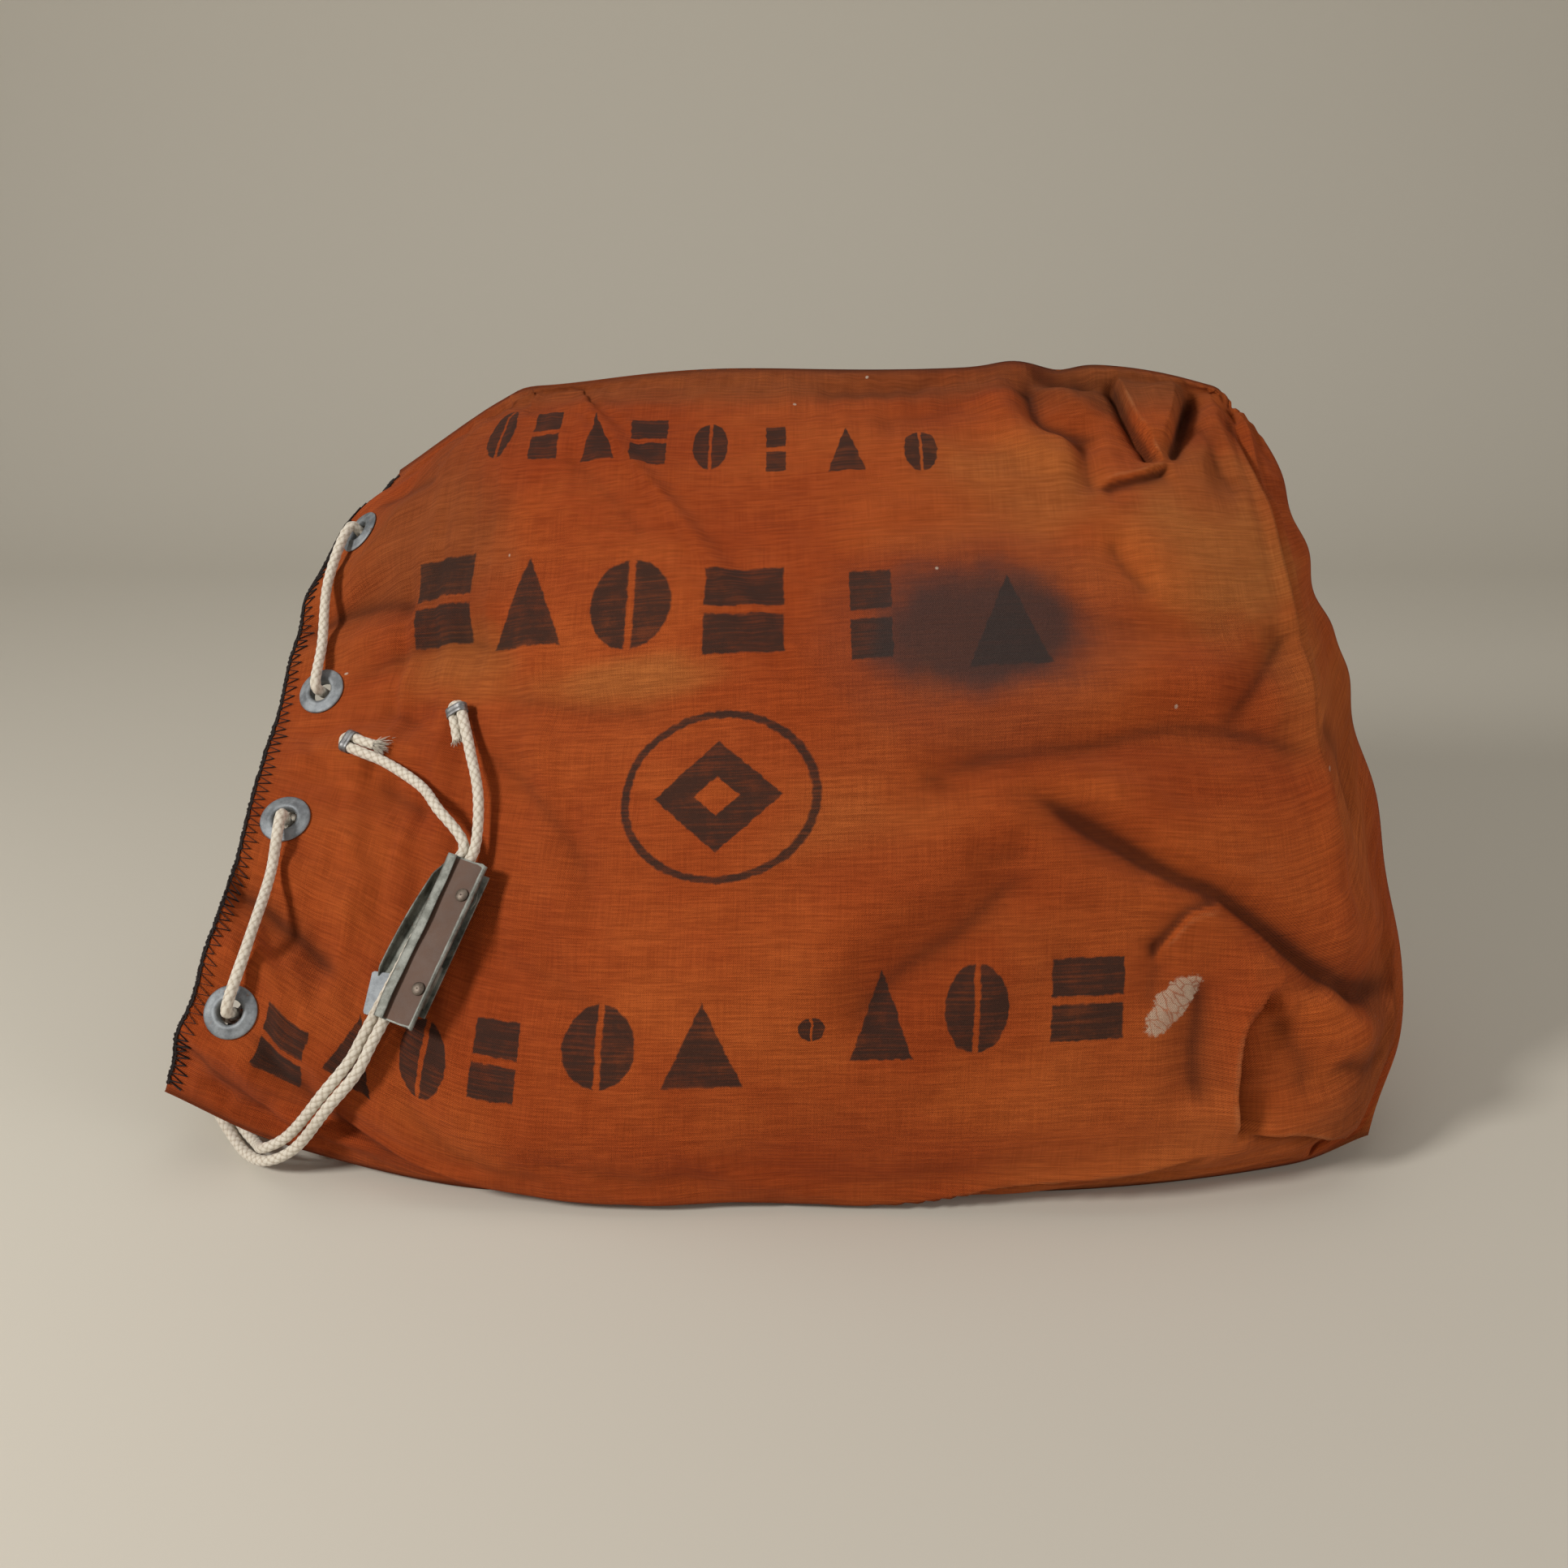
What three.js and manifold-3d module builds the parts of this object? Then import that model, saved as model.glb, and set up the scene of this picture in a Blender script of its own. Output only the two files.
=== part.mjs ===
// A canvas mail sack, filled and lying on its long lower edge.
// The mouth at the left is laced through metal eyelets with a braided cord. The two cord
// ends come out at the mouth's lower corner, run up through a sheet-metal fastener and end
// doubled back in metal clips. Millimetres, +X from the mouth to the bottom seam, -Y the front
// that faces the user, +Z up. The origin is the middle of the footprint.
import * as THREE from "three";
import { mergeVertices } from "three/addons/utils/BufferGeometryUtils.js";
import Module from "manifold-3d";

const wasm = await Module();
wasm.setup();

// Driving dimensions
const SACK_LENGTH = 640; // filled sack, mouth corner to bottom ear
const SACK_DEPTH = 295; // front belly to the back
const SACK_HEIGHT = 375; // table to the top ridge
const FLAT_LENGTH = 660; // cloth panel before filling, mouth to bottom seam
const FLAT_WIDTH = 500; // cloth panel before filling, side seam to side seam
const CLOTH = 1.2; // duck thickness
const EYELETS_PER_PANEL = 4;
const EYELET_OUTER = 27; // flange diameter of a No. 4 eyelet
const EDGE_MARGIN = 8.5; // cloth between a flange and the raw edge of the mouth
const MOUTH_INSET = EYELET_OUTER / 2 + EDGE_MARGIN; // eyelet centres from the raw edge
const EYELET_BORE = 12.7;
const EYELET_METAL = 0.8;
const CORD = 5.6; // braided cord diameter
const THREAD = 1.6; // edge binding thickness over the cloth
const FASTENER_LENGTH = 88;
const FASTENER_WIDTH = 22;
const SHEET = 1.0; // fastener sheet metal
const PAINT = 0.05; // paint on the label field
const GAP = 0.3; // between touching pieces

// Shape of the filled sack: seven cross-sections from the mouth to the bottom seam. Each holds
// six points from the lower side seam to the upper side seam, first over the front panel and
// then over the back panel, drawn for a sack of 640 x 295 x 375.
const V_KNOTS = [0, 0.125, 0.375, 0.625, 0.875, 1];
const U_KNOTS = [0, 0.1, 0.25, 0.5, 0.75, 0.92, 1];
const FRONT = [
  [[-315, -84, 36], [-293, -80, 93], [-286, 8, 154], [-281, 66, 196], [-268, 130, 256], [-232, 188, 300]],
  [[-255, -96, 13], [-236, -101, 67], [-224, -14, 143], [-210, 50, 212], [-198, 116, 311], [-165, 154, 345]],
  [[-150, -116, 0], [-152, -130, 36], [-142, -56, 134], [-135, 10, 232], [-130, 72, 334], [-122, 112, 363]],
  [[0, -120, 0], [0, -140, 40], [0, -112, 162], [0, -44, 264], [0, 52, 346], [0, 98, 371]],
  [[150, -116, 0], [152, -136, 42], [152, -106, 165], [150, -40, 270], [150, 55, 349], [150, 98, 373]],
  [[258, -98, 2], [280, -112, 45], [262, -70, 158], [248, -13, 262], [236, 60, 340], [228, 95, 364]],
  [[299, -87, 12], [322, -52, 76], [303, 18, 200], [285, 48, 262], [262, 76, 327], [240, 97, 352]],
];
const BACK = [
  [[-315, -84, 36], [-286, -48, 62], [-262, 36, 124], [-256, 94, 166], [-246, 156, 234], [-232, 188, 300]],
  [[-255, -96, 13], [-222, -40, 12], [-205, 52, 56], [-195, 116, 120], [-184, 158, 238], [-165, 154, 345]],
  [[-150, -116, 0], [-150, -40, 0], [-148, 66, 0], [-145, 134, 84], [-135, 150, 238], [-122, 112, 363]],
  [[0, -120, 0], [0, -40, 0], [0, 78, 0], [0, 152, 92], [0, 156, 256], [0, 98, 371]],
  [[150, -116, 0], [150, -40, 0], [150, 76, 0], [150, 150, 92], [150, 154, 256], [150, 98, 373]],
  [[258, -98, 2], [258, -36, 0], [260, 52, 6], [262, 110, 92], [248, 128, 246], [228, 95, 364]],
  [[299, -87, 12], [322, -52, 76], [303, 18, 200], [285, 48, 262], [262, 76, 327], [240, 97, 352]],
];
const DRAWN = [640, 295, 375];
// Middle of the drawn bounding box, which becomes the origin.
const MIDDLE_X = 3.4, MIDDLE_Y = 23.6;

const vec = (x, y, z) => new THREE.Vector3(x, y, z);
const clamp = (t, a, b) => Math.min(b, Math.max(a, t));
const smooth = (a, b, t) => {
  const s = clamp((t - a) / (b - a), 0, 1);
  return s * s * (3 - 2 * s);
};

// A cubic through values at uneven knots, with the slope at each knot taken from its neighbours.
function spline(knots, values, t) {
  const n = knots.length;
  let i = 0;
  while (i < n - 2 && t > knots[i + 1]) i += 1;
  const slope = (k) => {
    const a = Math.max(0, k - 1), b = Math.min(n - 1, k + 1);
    return (values[b] - values[a]) / (knots[b] - knots[a]);
  };
  const h = knots[i + 1] - knots[i], s = (t - knots[i]) / h;
  return (2 * s ** 3 - 3 * s ** 2 + 1) * values[i] + (s ** 3 - 2 * s ** 2 + s) * h * slope(i)
    + (3 * s ** 2 - 2 * s ** 3) * values[i + 1] + (s ** 3 - s ** 2) * h * slope(i + 1);
}

// A point of the drawn sack, at the sack's real size.
const drawn = (x, y, z) => vec((x - MIDDLE_X) * SACK_LENGTH / DRAWN[0],
  (y - MIDDLE_Y) * SACK_DEPTH / DRAWN[1], z * SACK_HEIGHT / DRAWN[2]);

// The smooth sack surface of one panel, u from mouth to bottom and v from lower to upper seam.
function sheetPoint(table, u, v) {
  const at = [0, 1, 2].map((axis) =>
    spline(U_KNOTS, table.map((row) => spline(V_KNOTS, row.map((p) => p[axis]), v)), u));
  return drawn(at[0], at[1], Math.max(0, at[2]));
}
function normalOf(point, u, v, side) {
  const e = 0.004;
  const du = point(clamp(u + e, 0, 1), v).sub(point(clamp(u - e, 0, 1), v));
  const dv = point(u, clamp(v + e, 0, 1)).sub(point(u, clamp(v - e, 0, 1)));
  return du.cross(dv).multiplyScalar(side).normalize();
}

// Eyelet centres along the mouth, and the flat spot that each eyelet clamps in the cloth.
const EYELET_V = Array.from({ length: EYELETS_PER_PANEL },
  (_, i) => (i + 0.5) / EYELETS_PER_PANEL);
const EYELET_U = MOUTH_INSET / FLAT_LENGTH;
const FLAT_RADIUS = EYELET_OUTER * 0.82;
function panel(table, side) {
  const raw = (u, v) => sheetPoint(table, u, v);
  const spots = EYELET_V.map((v) => ({
    centre: raw(EYELET_U, v), normal: normalOf(raw, EYELET_U, v, side),
  }));
  const point = (u, v) => {
    const p = raw(u, v);
    const seam = smooth(0, 0.05, v) * smooth(0, 0.05, 1 - v);
    for (const s of spots) {
      const off = p.clone().sub(s.centre);
      const w = 1 - smooth(FLAT_RADIUS, FLAT_RADIUS * 2.1, off.length());
      p.addScaledVector(s.normal, -off.dot(s.normal) * w * seam);
    }
    return p;
  };
  return { point, normal: (u, v) => normalOf(point, u, v, side), spots, side };
}
const front = panel(FRONT, 1);
const back = panel(BACK, -1);

// Geometry helpers: closed grid shells, solids for booleans, plain meshes.
function solidOf(geometry) {
  const g = geometry.index ? geometry.toNonIndexed() : geometry;
  const bare = new THREE.BufferGeometry().setAttribute("position", g.getAttribute("position"));
  const merged = mergeVertices(bare, 1e-4);
  return new wasm.Manifold(new wasm.Mesh({
    numProp: 3, vertProperties: merged.attributes.position.array,
    triVerts: new Uint32Array(merged.index.array),
  }));
}
function geometryOf(solid) {
  const mesh = solid.getMesh();
  const g = new THREE.BufferGeometry();
  g.setAttribute("position", new THREE.BufferAttribute(mesh.vertProperties, 3));
  g.setIndex(new THREE.BufferAttribute(mesh.triVerts, 1));
  return g;
}
// rows[i][j] on the outer face and on the inner face of a sheet become one closed solid.
function slab(outer, inner) {
  const rows = outer.length, cols = outer[0].length, position = [], index = [];
  for (const face of [outer, inner]) for (const row of face) for (const p of row) position.push(p.x, p.y, p.z);
  const at = (face, i, j) => face * rows * cols + i * cols + j;
  const quad = (a, b, c, d) => index.push(a, b, c, a, c, d);
  for (let i = 0; i < rows - 1; i += 1) for (let j = 0; j < cols - 1; j += 1) {
    quad(at(0, i, j), at(0, i + 1, j), at(0, i + 1, j + 1), at(0, i, j + 1));
    quad(at(1, i, j), at(1, i, j + 1), at(1, i + 1, j + 1), at(1, i + 1, j));
  }
  for (let i = 0; i < rows - 1; i += 1) {
    quad(at(0, i + 1, 0), at(0, i, 0), at(1, i, 0), at(1, i + 1, 0));
    quad(at(0, i, cols - 1), at(0, i + 1, cols - 1), at(1, i + 1, cols - 1), at(1, i, cols - 1));
  }
  for (let j = 0; j < cols - 1; j += 1) {
    quad(at(0, 0, j), at(0, 0, j + 1), at(1, 0, j + 1), at(1, 0, j));
    quad(at(0, rows - 1, j + 1), at(0, rows - 1, j), at(1, rows - 1, j), at(1, rows - 1, j + 1));
  }
  const g = new THREE.BufferGeometry();
  g.setAttribute("position", new THREE.Float32BufferAttribute(position, 3));
  g.setIndex(index);
  const solid = solidOf(g);
  if (solid.volume() >= 0) return solid;
  const flipped = [];
  for (let k = 0; k < index.length; k += 3) flipped.push(index[k], index[k + 2], index[k + 1]);
  g.setIndex(flipped);
  return solidOf(g);
}
function extruded(shape, depth, segments = 6) {
  return new THREE.ExtrudeGeometry(shape, { depth, bevelEnabled: false, curveSegments: segments });
}
function plate(points, z0, z1) {
  return extruded(new THREE.Shape(points.map(([x, y]) => new THREE.Vector2(x, y))), z1 - z0)
    .translate(0, 0, z0);
}
function rod(radius, z0, z1, x = 0, y = 0, segments = 14) {
  return new THREE.CylinderGeometry(radius, radius, z1 - z0, segments)
    .rotateX(Math.PI / 2).translate(x, y, (z0 + z1) / 2);
}
function turned(profile, segments = 14) {
  return new THREE.LatheGeometry(profile.map(([r, h]) => new THREE.Vector2(r, h)), segments)
    .rotateX(Math.PI / 2);
}
// A round cord through hand-placed points.
function tube(points, diameter, steps, sides = 8) {
  const curve = new THREE.CatmullRomCurve3(points, false, "centripetal");
  const ring = new THREE.Shape(Array.from({ length: sides }, (_, i) => new THREE.Vector2(
    diameter / 2 * Math.cos(i * 2 * Math.PI / sides), diameter / 2 * Math.sin(i * 2 * Math.PI / sides))));
  return new THREE.ExtrudeGeometry(ring, { steps, extrudePath: curve, bevelEnabled: false });
}
const sack = new THREE.Group();
function add(name, geometry, colour, roughness, metalness, parent = sack) {
  const material = new THREE.MeshStandardMaterial({ color: colour, roughness, metalness });
  const mesh = new THREE.Mesh(geometry, material);
  mesh.name = name;
  parent.add(mesh);
  return mesh;
}

// Cloth panels. Rows are closer near the eyelets. At the side and bottom seams the edge of each
// panel is cut along the plane half way between the two, so that they meet with a small gap.
const cell = EYELET_OUTER * 0.56;
const U_ROWS = [0, 0.36, 0.66, 1, 1.38, 1.75].map((k) => k * EYELET_U)
  .concat(Array.from({ length: 17 }, (_, i) => 1.75 * EYELET_U + (1 - 1.75 * EYELET_U) * (i + 1) / 17));
const V_ROWS = [0, 0.03];
for (const v of EYELET_V) for (const k of [-2, -1, 0, 1, 2, 4.2]) {
  const t = v + k * cell / FLAT_WIDTH;
  if (t > 0.035 && t < 0.965) V_ROWS.push(t);
}
V_ROWS.push(0.97, 1);
const SEAM_GAP = 0.4;
function clothPanel(mine, other) {
  const outer = [], inner = [];
  U_ROWS.forEach((u) => {
    const top = [], under = [];
    V_ROWS.forEach((v) => {
      const p = mine.point(u, v);
      const seam = v === 0 || v === 1 || u === 1;
      const n = mine.normal(Math.min(u, 0.995), clamp(v, 0.004, 0.996));
      if (!seam) {
        top.push(p);
        under.push(p.clone().addScaledVector(n, -CLOTH));
        return;
      }
      const m = other.normal(Math.min(u, 0.995), clamp(v, 0.004, 0.996));
      const half = n.clone().sub(m).normalize();
      const inward = n.clone().add(m).normalize().negate();
      const depth = Math.min(CLOTH / Math.max(0.2, -inward.dot(n)), 4 * CLOTH);
      const edge = p.clone().addScaledVector(half, SEAM_GAP / 2).addScaledVector(inward, SEAM_GAP);
      top.push(edge);
      under.push(edge.clone().addScaledVector(inward, depth));
    });
    outer.push(top);
    inner.push(under);
  });
  // The cloth that lies on the table keeps its outer face flat.
  let solid = slab(outer, inner);
  for (const s of mine.spots) {
    const hole = rod((EYELET_BORE / 2 + EYELET_METAL + GAP), -12, 12, 0, 0, 16);
    solid = solid.subtract(solidOf(placed(hole, s)));
  }
  return solid;
}
function placed(geometry, spot) {
  const turn = new THREE.Quaternion().setFromUnitVectors(vec(0, 0, 1), spot.normal);
  return geometry.clone().applyQuaternion(turn).translate(...spot.centre.toArray());
}
const CANVAS = 0xa8481f;
add("front_panel", geometryOf(clothPanel(front, back)), CANVAS, 0.95, 0);
add("back_panel", geometryOf(clothPanel(back, front)), 0x9c441f, 0.95, 0);

// Overcast thread that wraps the raw edge of the mouth on each panel: a slim channel.
function edgeBinding(mine) {
  const rows = [[], [], [], [], [], [], [], []], width = 7;
  const stops = V_ROWS.filter((v) => v > 0 && v < 1), STEPS = stops.length - 1;
  const reach = width / (U_ROWS[1] * FLAT_LENGTH);
  for (const v of stops) {
    const p0 = mine.point(0, v), p1 = mine.point(U_ROWS[1], v);
    const n0 = mine.normal(0, v), n1 = mine.normal(U_ROWS[1], v);
    const onto = p1.clone().sub(p0).normalize();
    const lift = (f, h) => (f > 0
      ? p0.clone().lerp(p1, f).add(n0.clone().lerp(n1, f).multiplyScalar(h))
      : p0.clone().addScaledVector(onto, f).addScaledVector(n0, h));
    const s = THREAD / 2, g = GAP + 0.16, lip = -g - s;
    [[reach, g], [reach, g + s], [lip, g + s], [lip, -CLOTH - g - s], [reach, -CLOTH - g - s],
      [reach, -CLOTH - g], [-g, -CLOTH - g], [-g, g]].forEach(([f, h], k) => rows[k].push(lift(f, h)));
  }
  const position = [], index = [], n = STEPS + 1;
  rows.forEach((row) => row.forEach((p) => position.push(p.x, p.y, p.z)));
  for (let k = 0; k < 8; k += 1) for (let i = 0; i < STEPS; i += 1) {
    const a = k * n + i, b = ((k + 1) % 8) * n + i;
    if (k === 5 || k === 3) index.push(a, a + 1, b, a + 1, b + 1, b);
    else index.push(a, a + 1, b + 1, a, b + 1, b);
  }
  for (const [i, turn] of [[0, 1], [STEPS, -1]]) {
    for (const [a, b, c, d] of [[0, 1, 2, 7], [7, 2, 3, 6], [6, 3, 4, 5]]) {
      const q = [a, b, c, d].map((k) => k * n + i);
      if (turn > 0) index.push(q[0], q[1], q[2], q[0], q[2], q[3]);
      else index.push(q[0], q[2], q[1], q[0], q[3], q[2]);
    }
  }
  const g = new THREE.BufferGeometry();
  g.setAttribute("position", new THREE.Float32BufferAttribute(position, 3));
  g.setIndex(index);
  const solid = solidOf(g);
  if (solid.volume() >= 0) return g;
  const flipped = [];
  for (let k = 0; k < index.length; k += 3) flipped.push(index[k], index[k + 2], index[k + 1]);
  g.setIndex(flipped);
  return g;
}
add("edge_thread_front", edgeBinding(front), 0x1d1a19, 0.9, 0);
add("edge_thread_back", edgeBinding(back), 0x1d1a19, 0.9, 0);

// Eyelets: a flanged barrel through the cloth, and a washer that it is set against inside.
const R0 = EYELET_BORE / 2, R1 = R0 + EYELET_METAL, RF = EYELET_OUTER / 2;
const EYELET = turned([
  [R0, -CLOTH - 2.2], [R1, -CLOTH - 2.2], [R1, GAP], [RF - 0.6, GAP], [RF, GAP + 0.5],
  [RF - 1.6, GAP + 1.5], [R1 + 1.2, GAP + 2.1], [R0 + 0.3, GAP + 1.6], [R0, -CLOTH - 2.2],
]);
const WASHER = turned([
  [R1 + GAP, -CLOTH - GAP - 1.2], [RF - 1.2, -CLOTH - GAP - 0.9], [RF - 1.0, -CLOTH - GAP],
  [R1 + GAP, -CLOTH - GAP], [R1 + GAP, -CLOTH - GAP - 1.2],
]);
[[front, "front"], [back, "back"]].forEach(([mine, label]) => mine.spots.forEach((s, i) => {
  add(`eyelet_${label}_${i + 1}`, placed(EYELET, s), 0x8d9095, 0.45, 0.9);
  add(`washer_${label}_${i + 1}`, placed(WASHER, s), 0x7f8186, 0.5, 0.9);
}));

// Fastener frame: y runs up along the cords, z away from the cloth, x to the right.
const FASTENER_LOW = front.point(0.183, 0.218), FASTENER_HIGH = front.point(0.226, 0.394);
const SEAT_U = 0.205, SEAT_V = 0.306, STAND_OFF = 7.5;
const yAxis = FASTENER_HIGH.clone().sub(FASTENER_LOW).normalize();
const zAxis = front.normal(SEAT_U, SEAT_V);
zAxis.addScaledVector(yAxis, -zAxis.dot(yAxis)).normalize();
const xAxis = yAxis.clone().cross(zAxis);
const seat = front.point(SEAT_U, SEAT_V).addScaledVector(zAxis, STAND_OFF);
const fastener = new THREE.Group();
fastener.position.copy(seat);
fastener.quaternion.setFromRotationMatrix(new THREE.Matrix4().makeBasis(xAxis, yAxis, zAxis));
sack.add(fastener);
fastener.updateMatrixWorld(true);
const fromFastener = (x, y, z) => vec(x, y, z).applyMatrix4(fastener.matrixWorld);

// Fastener layers, from the cloth outwards.
const BASE0 = 0, BASE1 = BASE0 + SHEET;
const FLOOR0 = BASE1 + GAP, FLOOR1 = FLOOR0 + 0.8;
const CORD_Z = FLOOR1 + GAP + CORD / 2;
const TOP0 = CORD_Z + CORD / 2 + GAP, TOP1 = TOP0 + SHEET;
const HALF = FASTENER_LENGTH / 2, W = FASTENER_WIDTH / 2;
const PIN_X = 5, PIN_HIGH = HALF * 0.59, PIN_LOW = -HALF * 0.55, PIN_R = 1.9;
const CORD_HIGH = -5.4, CORD_LOW = -10.4; // middle of the pair at the two ends of the plate

const label = plate([[-W + 6, -HALF], [W - 1, -HALF], [W - 1, HALF], [-W + 6, HALF]], TOP0, TOP1);
const leftLip = plate([[-W, TOP0], [-W + 6.4, TOP0], [-W + 6.4, TOP1 - 0.15], [-W + 1, TOP1 - 0.15],
  [-W + 1, TOP1 + 1.2], [-W + 5.2, TOP1 + 1.2], [-W + 5.2, TOP1 + 2.2], [-W, TOP1 + 2.2]],
-HALF + 1, HALF - 1).rotateX(Math.PI / 2);
const rightLip = plate([[W - 1.2, TOP0], [W + 0.6, TOP0 + 0.8], [W + 0.6, TOP1 + 2.4],
  [W - 0.4, TOP1 + 2.4], [W - 0.4, TOP1 + 0.6], [W - 1.2, TOP1]], -HALF + 1, HALF - 1)
  .rotateX(Math.PI / 2);
// The painted label field lies between the two lips and the two rivet heads.
const field = plate([[-W + 6.3, PIN_LOW + 4], [W - 1.5, PIN_LOW + 4], [W - 1.5, PIN_HIGH - 4],
  [-W + 6.3, PIN_HIGH - 4]], TOP1 - 0.3, TOP1 + PAINT);
let labelSolid = solidOf(label).add(solidOf(leftLip)).add(solidOf(rightLip)).add(solidOf(field));
for (const y of [PIN_HIGH, PIN_LOW]) {
  labelSolid = labelSolid.subtract(solidOf(rod(PIN_R + GAP, TOP0 - 1, TOP1 + 1, PIN_X, y)));
}
add("label_plate", geometryOf(labelSolid), 0x5a3a26, 0.55, 0.6, fastener);

let baseSolid = solidOf(plate([[-2, -HALF + 8], [W - 1, -HALF + 8], [W - 1, HALF - 4],
  [-2, HALF - 4]], BASE0, BASE1));
for (const y of [PIN_HIGH, PIN_LOW]) {
  baseSolid = baseSolid.subtract(solidOf(rod(PIN_R + GAP, BASE0 - 1, BASE1 + 1, PIN_X, y)));
}
add("fastener_back", geometryOf(baseSolid), 0x6b6a60, 0.6, 0.7, fastener);

// Rivets: a shank with a domed head in front and a flat head behind.
function rivet(y) {
  const head = PIN_R + 1.5;
  return turned([[0, BASE0 - GAP - 1.0], [head, BASE0 - GAP - 0.9], [head, BASE0 - GAP],
    [PIN_R, BASE0 - GAP], [PIN_R, TOP1 + GAP], [head, TOP1 + GAP], [head * 0.8, TOP1 + GAP + 0.8],
    [head * 0.4, TOP1 + GAP + 1.3], [0, TOP1 + GAP + 1.4]], 14).translate(PIN_X, y, 0);
}
add("rivet_upper", rivet(PIN_HIGH), 0x9a988c, 0.45, 0.85, fastener);
add("rivet_lower", rivet(PIN_LOW), 0x9a988c, 0.45, 0.85, fastener);

// Spacers on the rivets hold plate and back apart. The lower one is the fixed jaw.
const jawSolid = solidOf(plate([[PIN_X - 3.6, PIN_LOW - 8], [PIN_X + 3.4, PIN_LOW - 8],
  [PIN_X + 3.4, PIN_LOW + 14], [PIN_X - 3.6, PIN_LOW + 18]], BASE1 + GAP, TOP0 - GAP))
  .subtract(solidOf(rod(PIN_R + GAP, BASE1 - 1, TOP0 + 1, PIN_X, PIN_LOW)));
add("fixed_jaw", geometryOf(jawSolid), 0x6f6d63, 0.6, 0.7, fastener);
const SPACER_R = PIN_R + 1.5;
add("pivot_spacer", turned([[PIN_R + GAP, FLOOR1 + GAP], [SPACER_R, FLOOR1 + GAP],
  [SPACER_R, TOP0 - GAP], [PIN_R + GAP, TOP0 - GAP], [PIN_R + GAP, FLOOR1 + GAP]])
  .translate(PIN_X, PIN_HIGH, 0), 0x8b897e, 0.5, 0.8, fastener);

// Jaw lever: a trough under the cords that turns about the upper rivet, with a finger tab.
const OUTER_HIGH = CORD_HIGH - CORD - 5, OUTER_LOW = CORD_LOW - CORD - 6;
const LEVER_TOP = HALF - 5, LEVER_LOW = -HALF * 0.6;
const floor = plate([[OUTER_HIGH, LEVER_TOP], [OUTER_LOW, LEVER_LOW], [OUTER_LOW - 1, LEVER_LOW - 3],
  [OUTER_LOW + 1, LEVER_LOW - 19], [OUTER_LOW + 4, LEVER_LOW - 20], [OUTER_LOW + 10, LEVER_LOW - 3],
  [-1, LEVER_LOW + 2], [-1, PIN_HIGH - 9], [PIN_X - 2, PIN_HIGH - 5.4], [PIN_X + 3.5, PIN_HIGH - 4.4],
  [PIN_X + 4.6, PIN_HIGH], [PIN_X + 3.5, PIN_HIGH + 4.4], [PIN_X - 2, PIN_HIGH + 5.4],
  [-1, LEVER_TOP]], FLOOR0, FLOOR1);
const wall = plate([[OUTER_HIGH, LEVER_TOP], [OUTER_HIGH + 1, LEVER_TOP], [OUTER_LOW + 1, LEVER_LOW],
  [OUTER_LOW, LEVER_LOW]], FLOOR0, CORD_Z + 1.6);
const leverSolid = solidOf(floor).add(solidOf(wall))
  .subtract(solidOf(rod(PIN_R + GAP, FLOOR0 - 1, FLOOR1 + 1, PIN_X, PIN_HIGH)));
add("jaw_lever", geometryOf(leverSolid), 0x6c6a52, 0.6, 0.6, fastener);

// The two straight cord runs through the fastener, side by side.
const PAIR = CORD / 2 + 0.3;
const through = (s, y) => {
  const x = CORD_LOW + (CORD_HIGH - CORD_LOW) * (y + HALF) / FASTENER_LENGTH;
  return fromFastener(x + s * PAIR, y, CORD_Z);
};

// Held lace: round the mouth through every eyelet, both ends inside the lower mouth corner.
// depth is measured out of the cloth at that point; negative is inside the sack.
const over = (mine, u, v, depth) => mine.point(u, v).addScaledVector(mine.normal(u, v), depth);
const OUT = CORD / 2 + 3.4, IN = -CLOTH - CORD / 2 - 3;
const throughEyelet = (mine, i, first) => {
  const s = mine.spots[i];
  return [1, 0, -1].map((k) => s.centre.clone().addScaledVector(s.normal, first * k * 7 - CLOTH / 2));
};
const runOver = (mine, v, depth, shift = 0) => over(mine, EYELET_U * (1 + shift), v, depth);
const lacePoints = [
  over(front, EYELET_U * 0.8, 0.118, IN * 2),
  ...throughEyelet(front, 0, -1), runOver(front, 0.2, OUT, 0.1), runOver(front, 0.29, OUT, 0.1),
  ...throughEyelet(front, 1, 1), runOver(front, 0.45, IN), runOver(front, 0.55, IN),
  ...throughEyelet(front, 2, -1), runOver(front, 0.7, OUT, -0.1), runOver(front, 0.8, OUT, -0.1),
  ...throughEyelet(front, 3, 1), over(front, EYELET_U, 0.95, IN - 2),
  over(back, EYELET_U, 0.95, IN - 2),
  ...throughEyelet(back, 3, -1), runOver(back, 0.8, OUT), runOver(back, 0.7, OUT),
  ...throughEyelet(back, 2, 1), runOver(back, 0.55, IN), runOver(back, 0.45, IN),
  ...throughEyelet(back, 1, -1), runOver(back, 0.29, OUT), runOver(back, 0.2, OUT),
  ...throughEyelet(back, 0, 1), over(back, EYELET_U * 0.8, 0.118, IN * 1.6),
];
add("cord_lace", tube(lacePoints, CORD, 110), 0xcfc8b8, 0.9, 0);


// Free tails: out of the mouth's lower corner, a loose loop in front of it, up through the
// fastener, then each end doubles back into a metal clip. The first points are places in the
// drawn sack; the others are a place on the front cloth and a height above it.
const on = (u, v, h) => over(front, u, v, h);
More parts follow.
